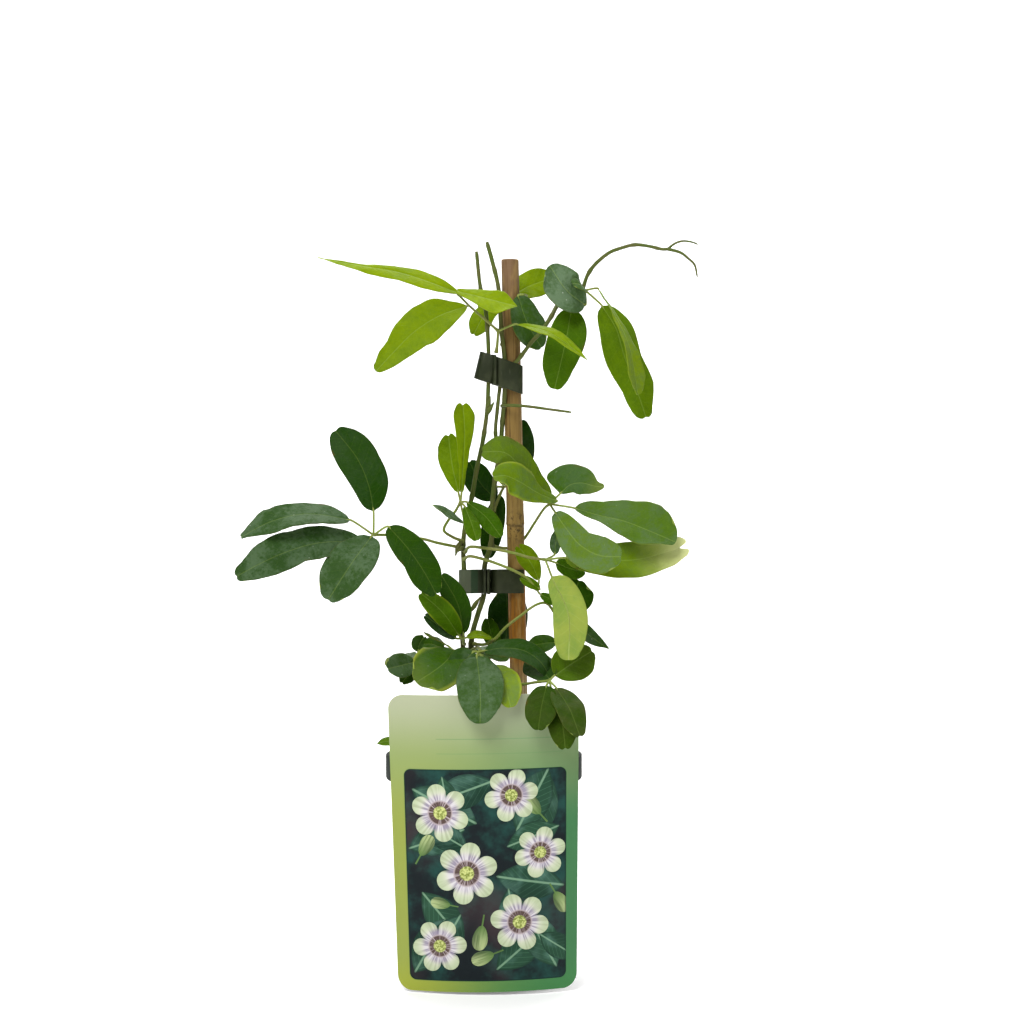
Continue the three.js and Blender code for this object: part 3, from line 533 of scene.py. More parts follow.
CANE_RADIUS = 4.2 * MM
CANE_FOOT = Vector((19.5, 9, 12)) * MM
CANE_TIP = Vector((12.6, -2, 346)) * MM
CANE_JOINT = 218 * MM
CANE_SIDES = 64
CANE_CHAMFER = 0.9 * MM


def cane_swell(height):
    """How far the wood stands out from the plain rod: a ring and a shallow swelling at the joint."""
    off = (height - CANE_JOINT) / MM
    ring = 0.16 * math.exp(-((off / 0.6) ** 2))
    swelling = 0.22 * math.exp(-((off - 1.6) / 2.8) ** 2)
    scar = -0.12 * math.exp(-(((off + 1.0) / 0.5) ** 2))
    return (ring + swelling + scar) * MM


def cane_heights():
    joint = [CANE_JOINT + off * MM for off in np.arange(-4, 7, 0.2)]
    shaft = [height for height in np.arange(CANE_FOOT.z, CANE_TIP.z - 2 * MM, 4 * MM)
             if abs(height - CANE_JOINT - 1.5 * MM) > 5.6 * MM]
    return sorted(shaft + joint)


def cane_mesh():
    rings = [(height, CANE_RADIUS + cane_swell(height)) for height in cane_heights()]
    for turn in np.linspace(0, math.pi / 2, 6):
        drop = CANE_CHAMFER * (1 - math.sin(turn))
        rings.append((CANE_TIP.z - drop, CANE_RADIUS - CANE_CHAMFER * (1 - math.cos(turn))))
    rings.append((CANE_TIP.z - 0.15 * MM, 1.5 * MM))
    points = []
    for height, radius in rings:
        share = (height - CANE_FOOT.z) / (CANE_TIP.z - CANE_FOOT.z)
        middle = CANE_FOOT.lerp(CANE_TIP, share)
        for side in range(CANE_SIDES):
            turn = 2 * math.pi * side / CANE_SIDES
            uneven = 0.05 * math.sin(2 * turn + 1) + 0.03 * math.sin(5 * turn + height / (40 * MM))
            reach = radius + uneven * MM
            points.append(middle + Vector((reach * math.cos(turn), reach * math.sin(turn), 0)))
    faces = []
    for ring in range(len(rings) - 1):
        for side in range(CANE_SIDES):
            low, after = ring * CANE_SIDES, (side + 1) % CANE_SIDES
            faces.append((low + side, low + after, low + after + CANE_SIDES, low + side + CANE_SIDES))
    top = (len(rings) - 1) * CANE_SIDES
    faces.append(tuple(top + side for side in range(CANE_SIDES)))
    faces.append(tuple(reversed(range(CANE_SIDES))))
    mesh = plain_mesh("cane", points, faces)
    smooth(mesh, 50)
    return mesh


def bamboo():
    material, tree, shader = new_material("bamboo")
    place = object_place(tree)
    height = split(tree, place)[2]
    streaks = drawn_grain(tree, place, (1100, 1100, 9), 4, 0.6)
    fibres = drawn_grain(tree, place, (4200, 4200, 60), 2)
    blotches = drawn_grain(tree, place, (160, 160, 45), 4, 0.6)
    low = mix(tree, rise(height, 135 * MM, 156 * MM), (0.30, 0.235, 0.11), (0.21, 0.085, 0.006))
    low = mix(tree, rise(height, 180 * MM, 206 * MM), low, (0.225, 0.14, 0.036))
    tone = mix(tree, rise(height, 225 * MM, 300 * MM), low, (0.19, 0.115, 0.034))
    tone = mix(tree, rise(height, 316 * MM, 340 * MM) * 0.85, tone, (0.17, 0.10, 0.055))
    tone = mix(tree, rise(streaks, 0.46, 0.70) * 0.8, tone, (0.085, 0.046, 0.014))
    tone = mix(tree, rise(blotches, 0.48, 0.66) * 0.5, tone, (0.33, 0.215, 0.075))
    off = (height - CANE_JOINT) / MM
    scar = bell((off + 1.1) * 1.6)
    soot = rise(drawn_grain(tree, place, (420, 420, 330), 5, 0.65), 0.51, 0.6)
    soot = soot * rise(abs(off + 1.5), 10.0, 2.0)
    marks = (scar * rise(blotches, 0.4, 0.6)).math("MAXIMUM", soot)
    tone = mix(tree, marks * 0.8, tone, (0.03, 0.018, 0.01))
    cut = rise(height, CANE_TIP.z - 0.5 * MM, CANE_TIP.z - 0.1 * MM)
    tone = mix(tree, cut, tone, mix(tree, fibres, (0.25, 0.18, 0.12), (0.55, 0.44, 0.32)))
    coat(shader, tone, 0.42 + streaks * 0.3 + cut * 0.3, 0.16)
    relief(tree, shader, streaks * -0.4 + fibres * 0.5, 0.16 * MM)
    return material


cane = link_object("bamboo_cane", cane_mesh())
cane.data.materials.append(bamboo())
stands_for(cane, "cane")

# ---------------------------------------------------------------- Stems
# Two thin climbing stems that come up out of the soil and twine up the cane, olive green with
# small swellings and dry buds at their joints. The middle one throws out a side branch that ends
# in a bare forked shoot, and a short dry stalk.

LEFT_STEM = [
    (-12, -2, 66), (-12, -4, 100), (-11, -6, 130), (-10, -5, 154), (-10.5, -6, 171), (-9.6, -4.5, 184),
    (-9.6, -4, 196), (-10, -4, 208), (-8.5, -4, 220), (-6, -4, 230), (-3.5, -4, 244), (-0.5, -4, 258),
    (1.6, -5.4, 273), (2.2, -6.4, 285), (2.4, -6.8, 297), (1, -8, 320), (-1.5, -8, 331), (-3.5, -8, 349),
]
MIDDLE_STEM = [
    (-4, 5, 66), (-6, 3, 100), (-7.5, -1, 130), (-6.4, -2, 156), (-5.5, -2, 165), (-3, -1, 174),
    (0, 1, 184), (0.4, 1.2, 198), (3.4, 3, 208), (4, 3, 227), (5.5, 3, 240), (8, 2, 256),
    (9, -1, 268), (10, -4.4, 281), (10, -5, 297), (8.4, -6, 312), (7, -6, 332), (4, -5, 345), (1.5, -4, 354),
]
RIGHT_BRANCH = [
    (7.2, 2.4, 250), (5.6, -1.5, 262), (6.4, -4.6, 272), (7.5, -5, 282), (8.4, -5.2, 288.5),
    (10.6, -5.1, 292), (13.6, -5.05, 294.4), (16.5, -5.4, 297), (19.6, -6.6, 301), (23, -7.2, 305.5),
    (27.6, -7, 310.5), (32.5, -5, 318), (36.5, 0, 325), (42.5, 1, 329), (48, 0, 332),
]
TOP_SHOOT = [
    (48, 0, 332), (50, -1, 338), (52.5, -2, 342), (56, -4, 345.5), (61, -6, 349), (65.5, -8, 350.5),
    (72.5, -10, 352), (79.5, -12, 351), (85.5, -13, 349.5), (89, -14, 349.5),
]
UPPER_FORK = [
    (88, -14, 349.5), (91.5, -15, 352), (95, -16, 353), (99.5, -16, 352.5), (102.5, -15, 351.5),
]
LOWER_FORK = [
    (88, -14, 349.5), (94, -16, 347.5), (97.5, -18, 344.5), (100.5, -18, 341.5), (102, -17, 335.5),
]
BARE_STALK = [(8.6, -3, 275), (12, -8.5, 275), (20, -10.5, 274.5), (31, -11.5, 273), (42, -12, 271.5)]
LEFT_JOINTS = [142, 171, 208, 231, 262, 312, 331]
MIDDLE_JOINTS = [134, 160, 208, 240, 268, 312, 340]
BRANCH_JOINTS = [262, 299, 318]
SHOOT_JOINTS = [340, 350, 352]
TRIMS = [
    [(-10.4, -6, 210), (-12.4, -7.6, 207), (-13.6, -8.2, 202.6)],
    [(-9.6, -6, 206.5), (-11, -8.2, 206), (-12.4, -9, 204.6)],
    [(0.8, -5.8, 270), (3, -7.6, 273.4), (5, -8, 276.6)],
    [(1.4, -5.6, 272), (2.4, -7.8, 276), (3.2, -8.2, 279.4)],
    [(-6, -4.4, 176), (-3.6, -6.6, 180), (-1.6, -7.4, 182.8)],
]


def smooth_path(points, step=0.8):
    """Points a step apart, in millimetres, along the centripetal curve through the given ones."""
    given = [Vector(point) for point in points]
    given = [2 * given[0] - given[1], *given, 2 * given[-1] - given[-2]]
    dense = []
    for before, start, end, after in zip(given, given[1:], given[2:], given[3:]):
        first, middle, last = ((b - a).length ** 0.5 for a, b in ((before, start), (start, end), (end, after)))
        leave = ((start - before) / first - (end - before) / (first + middle)) * middle + (end - start)
        reach = ((after - end) / last - (after - start) / (middle + last)) * middle + (end - start)
        for share in np.arange(0, 1, 1 / 24):
            square, cube = share ** 2, share ** 3
            dense.append(
                (2 * cube - 3 * square + 1) * start + (cube - 2 * square + share) * leave
                + (3 * square - 2 * cube) * end + (cube - square) * reach
            )
    dense = np.array([*dense, given[-2]])
    lengths = np.concatenate([[0], np.cumsum(np.linalg.norm(np.diff(dense, axis=0), axis=1))])
    count = max(3, round(lengths[-1] / step) + 1)
    stations = np.linspace(0, lengths[-1], count)
    return np.column_stack([np.interp(stations, lengths, dense[:, axis]) for axis in range(3)])


def polylines(name, lines, values):
    """A mesh of open lines, given in millimetres, whose points carry the named values."""
    points = np.concatenate(lines) * MM
    edges = []
    start = 0
    for line in lines:
        edges += [(start + step, start + step + 1) for step in range(len(line) - 1)]
        start += len(line)
    mesh = plain_mesh(name, points, [], edges)
    for label, given in values.items():
        data = np.concatenate(given).astype(np.float32)
        kind, field = ("FLOAT", "value") if data.ndim == 1 else ("FLOAT_VECTOR", "vector")
        mesh.attributes.new(label, kind, "POINT").data.foreach_set(field, data.ravel())
    return mesh


def stalk_tree():
    """Round stalks along lines, each as thick as its points say."""
    tree, entry = geometry_tree("Stalks", {"Sides": "Int", "Material": "Material"})
    curve = out(add_node(tree, "GeometryNodeMeshToCurve", {"Mesh": out(entry, "Geometry")}), "Curve")
    thick = out(add_node(tree, "GeometryNodeInputNamedAttribute", {"Name": "thick"}), "Attribute")
    sides = out(entry, "Sides")
    ring = add_node(tree, "GeometryNodeCurvePrimitiveCircle", {"Resolution": sides, "Radius": 1.0})
    tube = add_node(tree, "GeometryNodeCurveToMesh", {
        "Curve": curve, "Profile Curve": out(ring, "Curve"), "Scale": thick, "Fill Caps": True,
    })
    finish_tree(tree, entry, out(tube, "Mesh"))
    return tree


def stem_line(path, start, end, joints=(), tip=1.0):
    """(points, radii in metres) of a stem: an even taper, swollen joints and a little unevenness."""
    points = smooth_path(path, 0.7)
    share = np.linspace(0, 1, len(points))
    radii = start + (end - start) * share
    for height in joints:
        nearest = points[np.argmin(np.abs(points[:, 2] - height))]
        away = np.linalg.norm(points - nearest, axis=1)
        radii = radii * (1 + 0.2 * np.exp(-((away / 1.3) ** 2)))
    wobble = [noise.noise(Vector(point) * 0.35) for point in points]
    radii = radii * (1 + 0.07 * np.array(wobble))
    radii[-1] *= 0.4 * tip
    radii[-2] *= 0.8
    return points, radii * MM


def bud_line(path):
    points = smooth_path(path, 0.35)
    share = np.linspace(0, 1, len(points))
    return points, (0.3 + 0.9 * np.sin(math.pi * np.minimum(1, 0.15 + 0.85 * share)) ** 1.4) * MM


def stalks(name, lines, material, sides=14):
    values = {"thick": [radii for _, radii in lines]}
    mesh = polylines(name, [points for points, _ in lines], values)
    return grown(stalk_pipes, mesh, {"Sides": sides, "Material": material}, name)


def green_bark(name, fresh, old, dark_below):
    """Olive bark. Below a height it goes dark and woody."""
    material, tree, shader = new_material(name)
    place = object_place(tree)
    height = split(tree, place)[2]
    broad = grain(tree, place, 120, 4, 0.6)
    fine = grain(tree, place, 900, 4, 0.65)
    tone = mix(tree, rise(broad, 0.35, 0.65), fresh, old)
    woody = rise(height + broad * 30 * MM, dark_below + 30 * MM, dark_below - 10 * MM)
    tone = mix(tree, woody * 0.8, tone, (0.030, 0.030, 0.009))
    tone = mix(tree, rise(fine, 0.58, 0.72) * 0.4, tone, (0.035, 0.035, 0.014))
    coat(shader, tone, 0.5 + fine * 0.25, 0.2)
    relief(tree, shader, fine, 0.14 * MM)
    return material


stalk_pipes = stalk_tree()
stem_bark = green_bark("stem bark", (0.065, 0.095, 0.012), (0.09, 0.095, 0.024), 166 * MM)
left_lines = [stem_line(LEFT_STEM, 1.4, 0.9, LEFT_JOINTS, tip=2.2)]
left_lines += [bud_line(path) for path in TRIMS[:4]]
stands_for(link_object("left_stem", stalks("left_stem", left_lines, stem_bark)), "stem_left")
middle_lines = [
    stem_line(MIDDLE_STEM, 1.5, 1.0, MIDDLE_JOINTS, tip=2.2),
    stem_line(RIGHT_BRANCH, 0.85, 1.1, BRANCH_JOINTS),
    stem_line(TOP_SHOOT, 1.0, 0.75, SHOOT_JOINTS),
    stem_line(UPPER_FORK, 0.6, 0.4),
    stem_line(LOWER_FORK, 0.85, 0.4),
    stem_line(BARE_STALK, 0.85, 0.6, tip=2.0),
    bud_line(TRIMS[4]),
]
middle_stem = link_object("middle_stem", stalks("middle_stem", middle_lines, stem_bark))
stands_for(middle_stem, "stem_middle")

# ---------------------------------------------------------------- Clips
# Two dark green plastic plant clips, moulded in one piece: an open jaw that snaps on the cane, a
# closed loop round both stems, and finger fins at the hinge. The upper one sits askew.

CLIP_WALL = 0.9
LOWER_CLIP = {
    "base": 184.4, "height": 11.4, "lean": 0, "slope": 0,
    "jaw": [(7.4, 0.2, 4.3), (15.8, 3.1, 5.75)], "loop": [(-8.8, -3.9, 3.4), (-0.2, 0.6, 4.1)],
    "mouth": (22.4, 4.6, 6, 12), "fins": [(0.2, -5.4, 0.12), (2.4, -5, -0.12)],
}
UPPER_CLIP = {
    "base": 286.7, "height": 13.8, "lean": 0.22, "slope": 0.33,
    "jaw": [(8.6, -4.8, 4.3), (13.85, -0.6, 5.75)], "loop": [(0, -6.4, 3.3), (2.6, -6.6, 3.3)],
    "mouth": (21.2, 2.6, 6, 12), "fins": [(4.9, -8.6, 0.3)],
}
FIN = (1, 5)
FIN_RISE = 0.8
CLIP_ROUNDING = 0.22 * MM


def capsule(first, second, grow):
    """The outline round two circles, each (x, y, radius), with straight sides between them."""
    heading = math.atan2(second[1] - first[1], second[0] - first[0])
    apart = math.hypot(second[0] - first[0], second[1] - first[1])
    spread = math.acos((first[2] - second[2]) / apart)
    arcs = [
        (first, heading + spread, heading + 2 * math.pi - spread),
        (second, heading - spread, heading + spread),
    ]
    return [
        (x + (radius + grow) * math.cos(turn), y + (radius + grow) * math.sin(turn))
        for (x, y, radius), start, end in arcs
        for turn in np.linspace(start, end, 28)
    ]


def band(first, second, height):
    """A closed upright band round two circles, in millimetres."""
    outline = capsule(first, second, 0)
    inner = capsule(first, second, -CLIP_WALL)
    count = len(outline)
    rings = ((outline, 0), (outline, height), (inner, height), (inner, 0))
    points = [(x, y, z) for ring, z in rings for x, y in ring]
    faces = []
    for ring in range(4):
        for side in range(count):
            after = (side + 1) % count
            low, high = ring * count, (ring + 1) % 4 * count
            faces.append((low + side, low + after, high + after, high + side))
    return points, faces


def solid_object(name, points, faces):
    work = bmesh.new()
    work.from_mesh(plain_mesh(name, points, faces))
    bmesh.ops.recalc_face_normals(work, faces=work.faces)
    return link_object(name, mesh_of(work, name))


def block(x, y, z, size, turn=0.0):
    work = bmesh.new()
    place = Matrix.Translation((x, y, z)) @ Matrix.Rotation(turn, 4, "Z") @ Matrix.Diagonal((*size, 1))
    bmesh.ops.create_cube(work, size=1, matrix=place)
    return link_object("block", mesh_of(work, "block"))


def clip_mesh(plan, name):
    """Joins the bands and fins, opens the jaw, shears the clip and rounds its edges."""
    height = plan["height"]
    clip = solid_object(name, *band(*plan["jaw"], height))
    loop = solid_object("loop", *band(*plan["loop"], height))
    lean = Matrix.Identity(4)
    lean[0][2] = plan["lean"]
    lean[0][3] = -plan["lean"] * height / 2
    loop.data.transform(lean)
    steps = [(loop, "UNION")]
    for x, y, turn in plan["fins"]:
        steps.append((block(x, y, height / 2, (*FIN, height + FIN_RISE), turn), "UNION"))
    x, y, width, depth = plan["mouth"]
    steps.append((block(x, y, height / 2, (width, depth, 2 * height)), "DIFFERENCE"))
    for tool, operation in steps:
        clip = link_object(name, combined(clip, tool, operation))
    place = Matrix.Scale(MM, 4) @ Matrix.Translation((0, 0, plan["base"]))
    shear = Matrix.Identity(4)
    shear[2][0] = -plan["slope"]
    clip.data.transform(place @ shear)
    rounding = clip.modifiers.new("rounded edges", "BEVEL")
    rounding.width = CLIP_ROUNDING
    rounding.segments = 3
    rounding.limit_method = "ANGLE"
    rounding.angle_limit = math.radians(40)
    mesh = baked(clip, name)
    smooth(mesh, 40)
    return mesh


def clip_plastic():
    material, tree, shader = new_material("clip plastic")
    place = object_place(tree)
    scuffs_and_sheen = drawn_grain(tree, place, (700, 700, 160), 4, 0.6)
    fine = grain(tree, place, 2200, 2)
    cloudy = grain(tree, place, 90, 3)
    x, _, height = split(tree, place)
    tone = mix(tree, rise(cloudy, 0.4, 0.65), (0.009, 0.014, 0.005), (0.022, 0.028, 0.012))
    # The lower clip's loop: a deeper green left of x = -2.6 mm, and left of x = -5.9 mm a painted highlight,
    # paler grey-green where its rounded face catches the light.
    lower = rise(height, 250 * MM, 240 * MM)
    tone = mix(tree, lower * rise(x, -2.6 * MM, -3.2 * MM), tone, (0.006, 0.026, 0.009))
    tone = mix(tree, lower * rise(x, -5.9 * MM, -6.5 * MM), tone, (0.055, 0.066, 0.042))
    # Pale vertical streaks: partly scuffs, and partly painted highlight streaks of light on the moulded
    # plastic.
    tone = mix(tree, rise(scuffs_and_sheen, 0.58, 0.75) * 0.3, tone, (0.06, 0.068, 0.042))
    coat(shader, tone, 0.38 + scuffs_and_sheen * 0.15, 0.3, (1, 1, 0.75))
    relief(tree, shader, fine * 0.6 + scuffs_and_sheen * 0.4, 0.06 * MM)
    return material


clip_finish = clip_plastic()
for name, node, plan in (("lower_clip", "clip_lower", LOWER_CLIP), ("upper_clip", "clip_upper", UPPER_CLIP)):
    clip = link_object(name, clip_mesh(plan, name))
    clip.data.materials.append(clip_finish)
    stands_for(clip, node)

# ---------------------------------------------------------------- Fronds
# Palmate fronds: a wiry petiole that ends in a hub, and oblong waxy leaflets spread from it on
# short stalks, most with a notched tip. Each leaflet is a thin blade grown about a curved rib, with
# side veins, a waved edge and a paler back. Young ones are yellow-green, old ones dark with a bloom.
# The young yellow-green is partly painted light, the glow of leaves lit from behind, and over the
# bloom lies a blue-grey painted sheen that stands in for soft reflections of the lamps.

PLAIN_LEAFLET = {
    "root": None, "fold": 0.15, "curl": 0.6, "widest": 1, "fullness": 0.5, "notch": 0.5, "pointed": False,
    "left": (1,) * 5, "right": (1,) * 5, "bloom_and_sheen": 0, "pale_tip": 0, "pale_rim": 0, "dry": 0,
}


def leaflet(rib, width, faces, youth_and_backlight, bloom_and_sheen=0, **own):
    """A leaflet's plan: its rib from stalk to tip, its width, the way its upper side faces, and its tone.

    fold lifts the edges into a shallow V and curl drops them again. widest, fullness, notch and
    pointed shape the outline, and left and right scale its halves at five even stations. youth, bloom,
    pale_tip, pale_rim and dry are its colour. The young yellow-green is partly painted light, the glow
    of a leaf lit from behind, and the blue-grey bloom is partly a painted sheen that stands in for soft
    reflections of the lamps. root is where its stalk starts, if not at the hub.
    """
    return {**PLAIN_LEAFLET, "rib": rib, "width": width, "faces": faces, "youth_and_backlight": youth_and_backlight, "bloom_and_sheen": bloom_and_sheen, **own}


